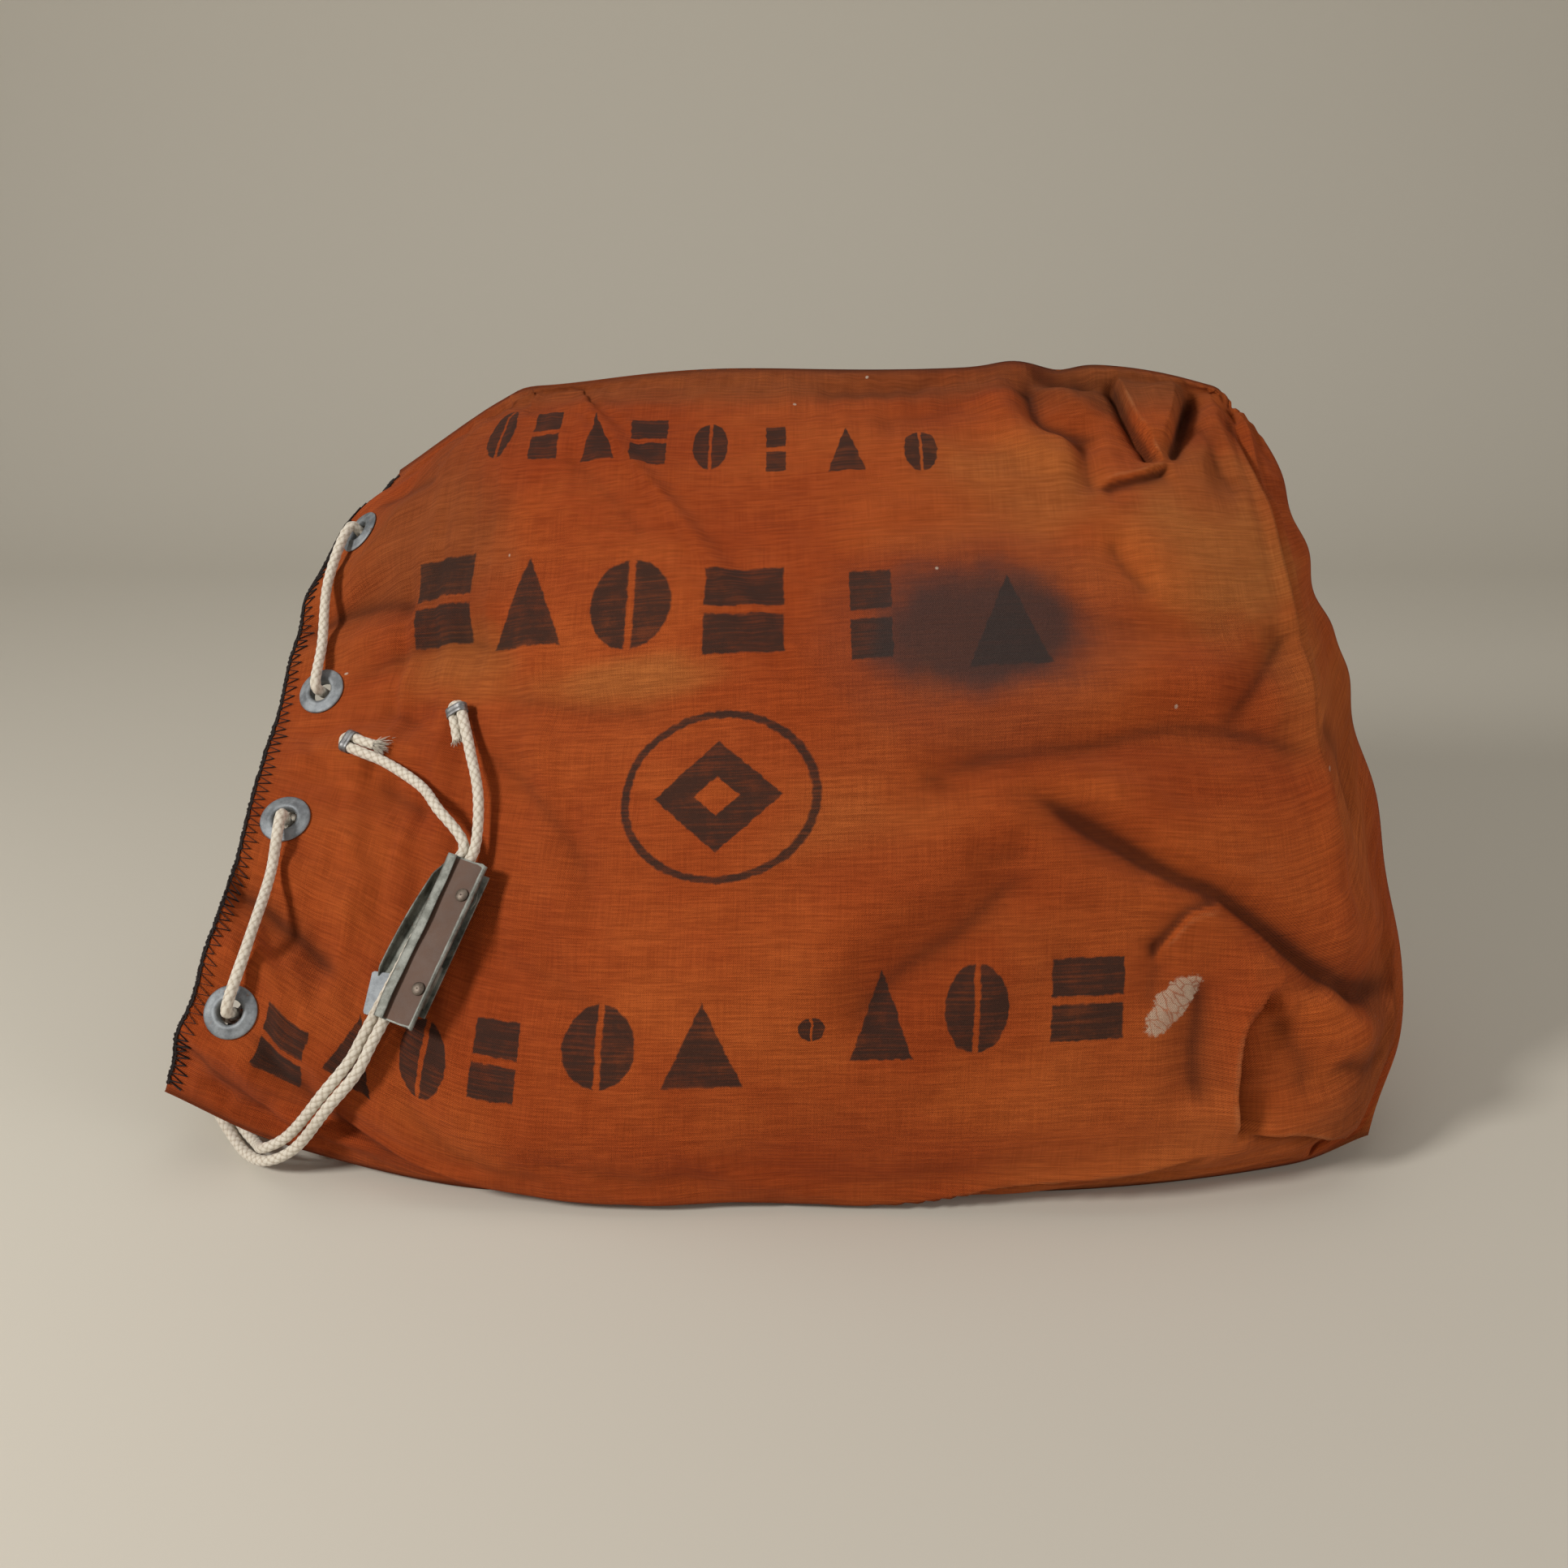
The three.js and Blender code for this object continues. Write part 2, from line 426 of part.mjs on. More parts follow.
// The two tails lie side by side, so the left one keeps its distance for a thicker cord.
const LOOP_CORD = 5.6; // cord that the loop's points were chosen for
const aside = (p) => p.add(vec(-0.6, 0.5, 1.2).multiplyScalar(CORD - LOOP_CORD));
const carryOn = (end, before) => {
  const dir = end.clone().sub(before).normalize();
  return [end.clone().addScaledVector(dir, GAP + 0.1), end.clone().addScaledVector(dir, 7)];
};
const leave = (s) => [-HALF - 12, -HALF + 4, -6, HALF - 6, HALF + 6].map((y) => through(s, y));
const END_RUN = 26; // straight end of each tail, beside its doubled-back end
function tail(start, side, middle, endAt, endFrom) {
  const end = on(...endAt), dir = end.clone().sub(on(...endFrom)).normalize();
  const points = [...start, ...leave(side), ...middle.map((m) => on(...m)),
    end.clone().addScaledVector(dir, -END_RUN), end.clone().addScaledVector(dir, -END_RUN / 2), end];
  return { points, end, dir, normal: front.normal(endAt[0], endAt[1]) };
}
const last = lacePoints.length - 1;
const right = tail([...carryOn(lacePoints[0], lacePoints[1]),
  over(front, EYELET_U * 0.25, 0.11, -13), drawn(-303, -67, 70), drawn(-308, -56, 58),
  drawn(-309, -46, 41), drawn(-307, -46, 24), drawn(-301, -58, 10), drawn(-288, -75, 4),
  drawn(-275, -91, 3.4), drawn(-260, -105, 9), drawn(-243, -112, 21), on(0.135, 0.1, 6.5),
  on(0.151, 0.146, 7)],
1, [[0.227, 0.473, 9]], [0.19, 0.578, 5.6], [0.203, 0.54, 5.6]);
const left = tail([...carryOn(lacePoints[last], lacePoints[last - 1]),
  over(back, EYELET_U * 0.2, 0.11, -9),
  ...[drawn(-297, -60, 68), drawn(-301, -48, 56), drawn(-300, -36, 40), drawn(-299, -37, 22),
    drawn(-294, -52, 9), drawn(-283.5, -71, 6.5), drawn(-271, -87, 7), drawn(-261, -103.5, 15.7),
    drawn(-247, -109, 26), on(0.128, 0.108, 6.5), on(0.143, 0.153, 7)].map(aside)],
-1, [[0.19, 0.45, 14], [0.162, 0.471, 8.5]], [0.071, 0.514, 5.8], [0.105, 0.498, 5.8]);
[["right", right, 64, -1], ["left", left, 66, 1]].forEach(([name, t, steps, turn]) => {
  add(`cord_tail_${name}`, tube(t.points, CORD, steps), 0xd6d0c2, 0.9, 0);
  // The doubled-back end beside the tail, and the metal clip round both.
  const z = t.normal.clone().addScaledVector(t.dir, -t.normal.dot(t.dir)).normalize();
  const spot = new THREE.Group();
  spot.position.copy(t.end);
  spot.quaternion.setFromRotationMatrix(new THREE.Matrix4().makeBasis(t.dir.clone().cross(z), t.dir, z));
  sack.add(spot);
  const beside = turn * (CORD + GAP);
  add(`cord_end_${name}`, rod(CORD / 2, 0, 17, 0, 0, 8).rotateX(Math.PI / 2).translate(beside, 0, 0),
    0xd6d0c2, 0.9, 0, spot);
  const ring = (r) => {
    const s = new THREE.Shape();
    const a = Math.min(0, beside), b = Math.max(0, beside);
    s.absarc(b, 0, r, -Math.PI / 2, Math.PI / 2, false);
    s.absarc(a, 0, r, Math.PI / 2, Math.PI * 1.5, false);
    return s;
  };
  const band = ring(CORD / 2 + GAP + 0.7);
  band.holes.push(ring(CORD / 2 + GAP));
  add(`end_clip_${name}`, extruded(band, 7, 5).rotateX(Math.PI / 2).translate(0, -2.5, 0),
    0x8f8f8c, 0.4, 0.9, spot);
});

export default sack;
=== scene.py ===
# Looks of a canvas mail sack: cloth, eyelets, lacing cord, overcast edge and sheet-metal fastener.
# Metres, in the part's own frame: +X from the mouth to the bottom seam, -Y the front, +Z up.
import math

import bmesh
import bpy
import numpy as np
from mathutils import Matrix, Vector


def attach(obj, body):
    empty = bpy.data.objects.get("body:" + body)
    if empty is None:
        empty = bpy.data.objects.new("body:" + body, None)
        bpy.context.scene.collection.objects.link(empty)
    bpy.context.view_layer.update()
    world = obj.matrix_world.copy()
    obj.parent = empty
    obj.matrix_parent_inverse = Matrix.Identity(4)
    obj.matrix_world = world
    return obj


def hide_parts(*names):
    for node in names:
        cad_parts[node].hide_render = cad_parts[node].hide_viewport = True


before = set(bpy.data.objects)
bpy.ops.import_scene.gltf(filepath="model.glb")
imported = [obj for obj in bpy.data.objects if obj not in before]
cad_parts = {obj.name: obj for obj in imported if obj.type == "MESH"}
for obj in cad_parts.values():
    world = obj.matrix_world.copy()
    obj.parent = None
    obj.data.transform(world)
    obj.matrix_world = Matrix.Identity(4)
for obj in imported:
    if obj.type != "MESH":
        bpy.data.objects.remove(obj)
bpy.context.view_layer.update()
rng = np.random.default_rng(7)

MM = 0.001
# Sizes, in millimetres as in the CAD model.
FLAT_LENGTH, FLAT_WIDTH, CLOTH = 660.0, 500.0, 1.2
MOUTH_INSET, EYELET_OUTER, EYELET_BORE = 22.0, 27.0, 12.7
CORD, GAP = 5.6, 0.3
FASTENER_LENGTH, FASTENER_WIDTH, SHEET = 88.0, 22.0, 1.0
MIDDLE_X, MIDDLE_Y = 3.4, 23.6
EYELET_U = MOUTH_INSET / FLAT_LENGTH
EYELET_V = [0.125, 0.375, 0.625, 0.875]
V_KNOTS = np.array([0, 0.125, 0.375, 0.625, 0.875, 1])
U_KNOTS = np.array([0, 0.1, 0.25, 0.5, 0.75, 0.92, 1])
# Panel stations from the mouth to the bottom seam, each from the lower seam to the upper one.
FRONT = np.array([
    [[-315, -84, 36], [-293, -80, 93], [-286, 8, 154], [-281, 66, 196], [-268, 130, 256], [-232, 188, 300]],
    [[-255, -96, 13], [-236, -101, 67], [-224, -14, 143], [-210, 50, 212], [-198, 116, 311],
     [-165, 154, 345]],
    [[-150, -116, 0], [-152, -130, 36], [-142, -56, 134], [-135, 10, 232], [-130, 72, 334], [-122, 112, 363]],
    [[0, -120, 0], [0, -140, 40], [0, -112, 162], [0, -44, 264], [0, 52, 346], [0, 98, 371]],
    [[150, -116, 0], [152, -136, 42], [152, -106, 165], [150, -40, 270], [150, 55, 349], [150, 98, 373]],
    [[258, -98, 2], [280, -112, 45], [262, -70, 158], [248, -13, 262], [236, 60, 340], [228, 95, 364]],
    [[299, -87, 12], [322, -52, 76], [303, 18, 200], [285, 48, 262], [262, 76, 327], [240, 97, 352]],
], float)
BACK = np.array([
    [[-315, -84, 36], [-286, -48, 62], [-262, 36, 124], [-256, 94, 166], [-246, 156, 234], [-232, 188, 300]],
    [[-255, -96, 13], [-222, -40, 12], [-205, 52, 56], [-195, 116, 120], [-184, 158, 238], [-165, 154, 345]],
    [[-150, -116, 0], [-150, -40, 0], [-148, 66, 0], [-145, 134, 84], [-135, 150, 238], [-122, 112, 363]],
    [[0, -120, 0], [0, -40, 0], [0, 78, 0], [0, 152, 92], [0, 156, 256], [0, 98, 371]],
    [[150, -116, 0], [150, -40, 0], [150, 76, 0], [150, 150, 92], [150, 154, 256], [150, 98, 373]],
    [[258, -98, 2], [258, -36, 0], [260, 52, 6], [262, 110, 92], [248, 128, 246], [228, 95, 364]],
    [[299, -87, 12], [322, -52, 76], [303, 18, 200], [285, 48, 262], [262, 76, 327], [240, 97, 352]],
], float)


def smooth(a, b, t):
    s = np.clip((t - a) / (b - a), 0, 1)
    return s * s * (3 - 2 * s)


# ---------------------------------------------------------------- sack surface
def cubic(knots, values, t):
    """A cubic through values (knots first) at uneven knots, slopes from the neighbours."""
    n = len(knots)
    lo = np.maximum(np.arange(n) - 1, 0)
    hi = np.minimum(np.arange(n) + 1, n - 1)
    slopes = (values[hi] - values[lo]) / (knots[hi] - knots[lo]).reshape((-1,) + (1,) * (values.ndim - 1))
    i = np.clip(np.searchsorted(knots, t, "right") - 1, 0, n - 2)
    h = knots[i + 1] - knots[i]
    s = (t - knots[i]) / h
    pick = np.arange(len(t))
    def at(a, k):
        return a[k, pick] if a.ndim == 3 else a[k]
    c = [2 * s**3 - 3 * s**2 + 1, (s**3 - 2 * s**2 + s) * h, 3 * s**2 - 2 * s**3, (s**3 - s**2) * h]
    return (c[0][:, None] * at(values, i) + c[1][:, None] * at(slopes, i)
            + c[2][:, None] * at(values, i + 1) + c[3][:, None] * at(slopes, i + 1))


def raw_point(table, u, v):
    stations = np.stack([cubic(V_KNOTS, row, v) for row in table])
    p = cubic(U_KNOTS, stations, u)
    p[:, :2] -= (MIDDLE_X, MIDDLE_Y)
    p[:, 2] = np.maximum(p[:, 2], 0)
    return p


class Panel:
    """One cloth panel as a function of (u, v); side is 1 for the front and -1 for the back."""

    def __init__(self, table, side):
        self.table, self.side, self.spots = table, side, []
        u = np.full(4, EYELET_U)
        v = np.array(EYELET_V)
        centre = raw_point(table, u, v)
        normal = self.normals(u, v, lambda a, b: raw_point(table, a, b))
        self.spots = list(zip(centre, normal))

    def normals(self, u, v, point=None):
        point = point or self.point
        e = 0.004
        up = lambda t: np.clip(t, 0, 1)
        du = point(up(u + e), v) - point(up(u - e), v)
        dv = point(u, up(v + e)) - point(u, up(v - e))
        n = np.cross(du, dv) * self.side
        return n / np.linalg.norm(n, axis=1)[:, None]

    def folds(self, u, v):
        """Height, slide and fold value of this panel's listed folds."""
        if self.side > 0:
            return fold_fields(FOLDS, STEPS, u, v)
        return fold_fields(BACK_FOLDS, BACK_STEPS, u, v)

    def point(self, u, v):
        u, v = np.atleast_1d(np.asarray(u, float)), np.atleast_1d(np.asarray(v, float))
        p = raw_point(self.table, u, v)
        seam = smooth(0, 0.05, v) * smooth(0, 0.05, 1 - v)
        radius = EYELET_OUTER * 0.82
        for centre, normal in self.spots:
            off = p - centre
            w = (1 - smooth(radius, radius * 2.1, np.linalg.norm(off, axis=1))) * seam
            p = p - normal * ((off @ normal) * w)[:, None]
        return p

    def over(self, u, v, depth):
        a, b = np.array([float(u)]), np.array([float(v)])
        return (self.point(a, b) + self.normals(a, b) * depth)[0]


front, back = Panel(FRONT, 1), Panel(BACK, -1)


# ---------------------------------------------------------------- mesh helpers
def placed(name, data):
    """A new object in the scene."""
    obj = bpy.data.objects.new(name, data)
    bpy.context.scene.collection.objects.link(obj)
    return obj


def new_object(name, verts_mm, faces, material=None):
    """A smooth-shaded mesh object from points in millimetres."""
    mesh = bpy.data.meshes.new(name)
    mesh.from_pydata([tuple(p) for p in np.asarray(verts_mm) * MM], [], faces)
    mesh.validate()
    mesh.polygons.foreach_set("use_smooth", [True] * len(mesh.polygons))
    mesh.update()
    if material:
        mesh.materials.append(material)
    return placed(name, mesh)


def hand_in(obj, body, node, slot):
    """Parents a piece to its body's empty and hides the CAD node it stands for; slot is not used."""
    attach(obj, body)
    if node:
        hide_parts(node)


def attribute(obj, name, values):
    obj.data.attributes.new(name, "FLOAT", "POINT").data.foreach_set("value", values)


def in_place(points, place):
    """Points moved by a 4x4 matrix."""
    return np.asarray(points) @ place[:3, :3].T + place[:3, 3]


def unit(vector):
    return vector / np.linalg.norm(vector)


def bake(obj):
    """Applies an object's modifiers."""
    deps = bpy.context.evaluated_depsgraph_get()
    mesh = bpy.data.meshes.new_from_object(obj.evaluated_get(deps))
    obj.modifiers.clear()
    old = obj.data
    obj.data = mesh
    bpy.data.meshes.remove(old)
    return obj


def grid_faces(rows, cols, closed_cols=False):
    faces = []
    span = cols if closed_cols else cols - 1
    for i in range(rows - 1):
        for j in range(span):
            k = (j + 1) % cols
            faces.append((i * cols + j, i * cols + k, (i + 1) * cols + k, (i + 1) * cols + j))
    return faces


def ring_faces(rings, around):
    """Faces of closed rings joined each to the next, and the last to the first."""
    faces = []
    for k in range(rings):
        after = (k + 1) % rings
        for j in range(around):
            q = (j + 1) % around
            faces.append((k * around + j, k * around + q, after * around + q, after * around + j))
    return faces


def lathe(name, profile, place, material, segments=56):
    """A closed ring profile (r, h) turned about z, then placed by a 4x4 matrix in millimetres."""
    a = np.linspace(0, 2 * np.pi, segments, endpoint=False)
    pts = [[r * math.cos(t), r * math.sin(t), h] for r, h in profile for t in a]
    faces = ring_faces(len(profile), segments)
    return fixed_normals(new_object(name, in_place(pts, place), faces, material))


def fixed_normals(obj):
    """Joins doubled points and turns every face outwards."""
    bm = bmesh.new()
    bm.from_mesh(obj.data)
    bmesh.ops.remove_doubles(bm, verts=bm.verts, dist=1e-6)
    bmesh.ops.recalc_face_normals(bm, faces=bm.faces)
    bm.to_mesh(obj.data)
    bm.free()
    return obj


def axes(x, y, z, origin):
    """A 4x4 matrix from three directions and an origin."""
    m = np.eye(4)
    m[:3, 0], m[:3, 1], m[:3, 2], m[:3, 3] = x, y, z, origin
    return m


def frame_at(origin, normal):
    """A 4x4 matrix at a point on the cloth, z along the normal and y as far up as it goes."""
    z = unit(normal)
    up = np.array([0.0, 0.0, 1.0])
    y = unit(up - z * (up @ z))
    return axes(np.cross(y, z), y, z, origin)


# ---------------------------------------------------------------- materials
class Shade:
    """A small builder for procedural materials."""

    def __init__(self, name):
        self.mat = bpy.data.materials.new(name)
        self.mat.use_nodes = True
        self.tree = self.mat.node_tree
        self.bsdf = self.tree.nodes["Principled BSDF"]

    def node(self, kind, **values):
        n = self.tree.nodes.new(kind)
        for key, value in values.items():
            setattr(n, key, value)
        return n

    def put(self, socket, value):
        if isinstance(value, bpy.types.NodeSocket):
            self.tree.links.new(value, socket)
        else:
            socket.default_value = value

    def math(self, op, a, b=0.0, c=0.0):
        n = self.node("ShaderNodeMath", operation=op)
        for i, value in enumerate((a, b, c)):
            self.put(n.inputs[i], value)
        return n.outputs[0]

    def vec(self, op, a, b=(0, 0, 0)):
        n = self.node("ShaderNodeVectorMath", operation=op)
        self.put(n.inputs[0], a)
        self.put(n.inputs[1], b)
        return n.outputs["Value"] if op == "LENGTH" else n.outputs[0]

    def times(self, a, b):
        return self.math("MULTIPLY", a, b)

    def parts(self, vector):
        """The x, y and z of a vector."""
        n = self.node("ShaderNodeSeparateXYZ")
        self.put(n.inputs[0], vector)
        return n.outputs

    def point_value(self, name):
        return self.node("ShaderNodeAttribute", attribute_name=name).outputs["Fac"]

    def place(self):
        return self.node("ShaderNodeTexCoord").outputs["Object"]

    def noise(self, vector, scale=5.0, detail=3.0, rough=0.55, stretch=(1, 1, 1), distortion=0.0):
        n = self.node("ShaderNodeTexNoise")
        self.put(n.inputs["Vector"], self.vec("MULTIPLY", vector, stretch))
        self.put(n.inputs["Scale"], scale)
        self.put(n.inputs["Detail"], detail)
        self.put(n.inputs["Roughness"], rough)
        self.put(n.inputs["Distortion"], distortion)
        return n.outputs["Fac"]

    def ramp(self, value, lo, hi):
        """0 below lo and 1 above hi, smooth between."""
        n = self.node("ShaderNodeMapRange", interpolation_type="SMOOTHSTEP")
        self.put(n.inputs["Value"], value)
        n.inputs["From Min"].default_value = min(lo, hi)
        n.inputs["From Max"].default_value = max(lo, hi)
        if lo > hi:
            n.inputs["To Min"].default_value, n.inputs["To Max"].default_value = 1.0, 0.0
        return n.outputs["Result"]

    def mix(self, fac, a, b, mode="MIX"):
        n = self.node("ShaderNodeMix", data_type="RGBA", blend_type=mode)
        self.put(n.inputs["Factor"], fac)
        self.put(n.inputs[6], a if isinstance(a, bpy.types.NodeSocket) else (*a, 1.0))
        self.put(n.inputs[7], b if isinstance(b, bpy.types.NodeSocket) else (*b, 1.0))
        return n.outputs[2]

    def bump(self, height, strength, distance, normal=None):
        n = self.node("ShaderNodeBump")
        n.inputs["Strength"].default_value = strength
        n.inputs["Distance"].default_value = distance
        self.put(n.inputs["Height"], height)
        if normal is not None:
            self.put(n.inputs["Normal"], normal)
        return n.outputs[0]

    def finish(self, colour=None, rough=None, normal=None, metal=None, **others):
        main = {"Base Color": colour, "Roughness": rough, "Normal": normal, "Metallic": metal}
        for socket, value in main.items():
            if value is not None:
                if socket == "Base Color" and not isinstance(value, bpy.types.NodeSocket):
                    value = (*value, 1.0)
                self.put(self.bsdf.inputs[socket], value)
        for key, value in others.items():
            self.put(self.bsdf.inputs[key.replace("_", " ")], value)
        return self.mat


# Stencilled marks on the front, in cloth coordinates u and v: (shape, u, v, half u, half v).
MARKS = []
for i, (shape, w) in enumerate([("disc", 1), ("bar", .8), ("tri", 1), ("bar", 1), ("disc", .9), ("bar", .5),
                                ("tri", .9), ("disc", .8)]):
    t = i / 7
    MARKS.append((shape, 0.19 + 0.425 * t, 0.896 - 0.05 * t, 0.020 * w * (1 - 0.15 * t), 0.036 - 0.008 * t))
for i, (shape, w) in enumerate([("bar", .95), ("tri", 1.05), ("disc", 1.1), ("bar", 1.0), ("bar", .45),
                                ("tri", .9)]):
    t = i / 5
    MARKS.append((shape, 0.145 + 0.53 * t, 0.706 - 0.062 * t, 0.036 * w, 0.047))
ROW3_U = np.array([0.06, 0.12, 0.2, 0.288, 0.35, 0.474, 0.55, 0.70, 0.77])
ROW3_V = np.array([0.105, 0.162, 0.205, 0.233, 0.247, 0.25, 0.272, 0.281, 0.285])
for shape, u, hu, hv in [("bar", .082, .020, .036), ("tri", .142, .022, .037), ("disc", .204, .022, .038),
                         ("bar", .266, .019, .038), ("disc", .352, .030, .040), ("tri", .436, .032, .040),
                         ("disc", .52, .010, .011), ("tri", .574, .024, .040), ("disc", .646, .024, .040),
                         ("bar", .728, .026, .037)]:
    MARKS.append((shape, u, float(np.interp(u, ROW3_U, ROW3_V)), hu, hv))
RING = (0.443, 0.481, 0.0815, 0.081)


# Lighter and darker patches of cloth colour, the tan ones sun-faded: (u, v, half u, half v, colour,
# strength).
TAN, DEEP = (0.40, 0.145, 0.036), (0.29, 0.045, 0.010)
BROWN, ORANGE = (0.20, 0.062, 0.020), (0.50, 0.115, 0.022)
TONE_PATCHES = [
    (.86, .74, .10, .13, TAN, .62), (.70, .80, .09, .07, TAN, .45), (.78, .70, .06, .06, ORANGE, .5),
    (.93, .60, .05, .12, TAN, .35), (.60, .765, .08, .05, ORANGE, .55), (.36, .60, .10, .03, TAN, .55),
    (.17, .64, .08, .05, TAN, .45), (.28, .56, .16, .03, DEEP, .45), (.45, .97, .5, .045, BROWN, .60),
    (.80, .95, .12, .06, BROWN, .65), (.08, .92, .10, .06, DEEP, .5), (.82, .57, .08, .05, DEEP, .55),
    (.45, .78, .25, .05, DEEP, .45), (.62, .40, .16, .05, DEEP, .35), (.85, .40, .10, .06, ORANGE, .35),
    (.25, .06, .22, .05, DEEP, .35), (.56, .13, .20, .05, DEEP, .40), (.97, .40, .04, .20, TAN, .25),
    (.12, .80, .11, .16, BROWN, .58), (.30, .88, .18, .08, DEEP, .55), (.26, .42, .12, .10, DEEP, .35),
    (.93, .13, .07, .08, BROWN, .5), (.89, .23, .045, .08, ORANGE, .45), (.86, .80, .05, .05, DEEP, .35),
    (.48, .03, .35, .03, BROWN, .35), (.68, .20, .07, .05, ORANGE, .35), (.10, .36, .06, .10, ORANGE, .30),
]
# On the back, the two strips at u .97 are painted light: lighter cloth on the side that turns away from the
# key lamp; the other patches lighten or darken the cloth colour.
TONE_PATCHES_AND_PAINTED_LIGHT_BACK = [
    (.97, .70, .07, .30, TAN, .75), (.97, .30, .07, .26, ORANGE, .65),
    (.30, .75, .16, .12, TAN, .60), (.72, .55, .14, .12, DEEP, .5), (.55, .85, .2, .06, BROWN, .4),
    (.15, .30, .10, .12, ORANGE, .4), (.85, .30, .10, .14, TAN, .4), (.5, .12, .4, .08, BROWN, .5),
]


def canvas(name, printed):
    s = Shade(name)
    uv = s.node("ShaderNodeUVMap", uv_map="cloth").outputs[0]
    # cloth coordinates in metres, as laid flat
    slub = s.noise(uv, 1.0, 2.0, 0.6, (26, 720, 1))
    slub2 = s.noise(uv, 1.0, 1.0, 0.5, (90, 1700, 1))
    warp = s.noise(uv, 1.0, 1.0, 0.5, (1300, 40, 1))
    broad = s.noise(uv, 7.0, 4.0, 0.6, (1, 1.6, 1))
    patch = s.noise(uv, 3.2, 3.0, 0.55, (1, 1, 1), 0.6)
    band = s.noise(uv, 1.0, 3.0, 0.55, (2.2, 22, 1))
    mottle = s.noise(uv, 38.0, 4.0, 0.65, (1, 1.3, 1))
    colour = s.mix(s.ramp(broad, 0.35, 0.7), (0.325, 0.056, 0.0115), (0.410, 0.086, 0.0175))
    colour = s.mix(s.times(s.ramp(patch, 0.50, 0.70), 0.45), colour, (0.50, 0.150, 0.037))
    colour = s.mix(s.times(s.ramp(band, 0.5, 0.75), 0.40), colour, (0.270, 0.044, 0.012))
    for cu, cv, hu, hv, tint, weight in (TONE_PATCHES if printed else TONE_PATCHES_AND_PAINTED_LIGHT_BACK):
        q = s.vec("DIVIDE", s.vec("SUBTRACT", uv, (cu * FLAT_LENGTH / 1000, cv * FLAT_WIDTH / 1000, 0)),
                  (hu * FLAT_LENGTH / 1000, hv * FLAT_WIDTH / 1000, 1))
        edge = s.math("MULTIPLY_ADD", s.noise(uv, 11, 4, 0.6, (1, 1.5, 1)), 1.5, -0.75)
        cloud = s.math("ADD", s.vec("LENGTH", q), edge)
        colour = s.mix(s.times(s.ramp(cloud, 1.25, 0.35), weight), colour, tint)
    colour = s.mix(s.times(s.ramp(mottle, 0.42, 0.75), 0.22), colour,
                   s.mix(1.0, colour, (1.35, 1.5, 1.6), "MULTIPLY"))
    tone = s.math("ADD", s.times(slub, 0.50), s.math("ADD", s.times(slub2, 0.35), s.times(warp, 0.25)))
    colour = s.mix(s.ramp(tone, 0.40, 0.72), s.mix(1.0, colour, (0.78, 0.74, 0.72), "MULTIPLY"),
                   s.mix(1.0, colour, (1.18, 1.20, 1.20), "MULTIPLY"))
    # dust and grime with painted shade darken the fold valleys; rubbed wear with a painted highlight lightens
    # the crests
    fold = s.point_value("fold")
    colour = s.mix(s.times(s.ramp(fold, 0.05, -1.0), 0.78), colour, (0.060, 0.017, 0.008))
    colour = s.mix(s.times(s.times(s.ramp(fold, 0.25, 1.0), s.ramp(mottle, 0.35, 0.6)), 0.26),
                   colour, (0.62, 0.28, 0.12))
    x = s.parts(uv)
    pitch = 2 * math.pi / 0.0011
    wx = s.math("SINE", s.times(x[0], pitch))
    wy = s.math("SINE", s.times(x[1], pitch))
    weave = s.times(wx, wy)
    colour = s.mix(s.times(s.ramp(weave, -0.2, -1.0), 0.25), colour,
                   s.mix(1.0, colour, (0.5, 0.45, 0.45), "MULTIPLY"))
    if printed:
        wobble = s.node("ShaderNodeTexNoise")
        s.put(wobble.inputs["Vector"], uv)
        wobble.inputs["Scale"].default_value = 260
        shift = s.vec("SUBTRACT", wobble.outputs["Color"], (0.5, 0.5, 0.5))
        shift = s.vec("MULTIPLY", shift, (0.004, 0.005, 0))
        part = s.vec("ADD", s.vec("MULTIPLY", uv, (1000 / FLAT_LENGTH, 1000 / FLAT_WIDTH, 0)), shift)
        ink = None
        for shape, u, v, hu, hv in MARKS:
            q = s.vec("DIVIDE", s.vec("SUBTRACT", part, (u, v, 0)), (hu, hv, 1))
            if shape == "disc":
                d = s.vec("LENGTH", q)
                d = s.math("MAXIMUM", d, s.math("SUBTRACT", 1.09, s.math("ABSOLUTE", s.parts(q)[0])))
            else:
                e = s.parts(q)
                ax = s.math("ABSOLUTE", e[0])
                ay = s.math("ABSOLUTE", e[1])
                if shape == "tri":
                    slope = s.math("MULTIPLY_ADD", e[1], 0.5, 0.5)
                    d = s.math("MAXIMUM", s.math("ADD", ax, slope), ay)
                else:
                    d = s.math("MAXIMUM", ax, ay)
                    d = s.math("MAXIMUM", d, s.math("SUBTRACT", 1.10, ay))
            m = s.ramp(d, 1.03, 0.97)
            ink = m if ink is None else s.math("MAXIMUM", ink, m)
        u, v, hu, hv = RING
        q = s.vec("DIVIDE", s.vec("SUBTRACT", part, (u, v, 0)), (hu, hv, 1))
        r = s.vec("LENGTH", q)
        ring = s.times(s.ramp(r, 1.05, 1.02), s.ramp(r, 0.93, 0.96))
        e = s.parts(q)
        diamond = s.math("ADD", s.math("ABSOLUTE", e[0]), s.math("ABSOLUTE", e[1]))
        core = s.times(s.ramp(diamond, 0.68, 0.65), s.ramp(diamond, 0.22, 0.25))
        ink = s.math("MAXIMUM", ink, s.math("MAXIMUM", ring, core))
        worn = s.math("ADD", s.times(slub, 0.5), s.times(s.noise(uv, 60, 4, 0.7), 0.5))
        fade = s.times(ink, s.math("MULTIPLY_ADD", s.ramp(worn, 0.66, 0.44), 0.22, 0.72))
        colour = s.mix(fade, colour, (0.038, 0.022, 0.017))
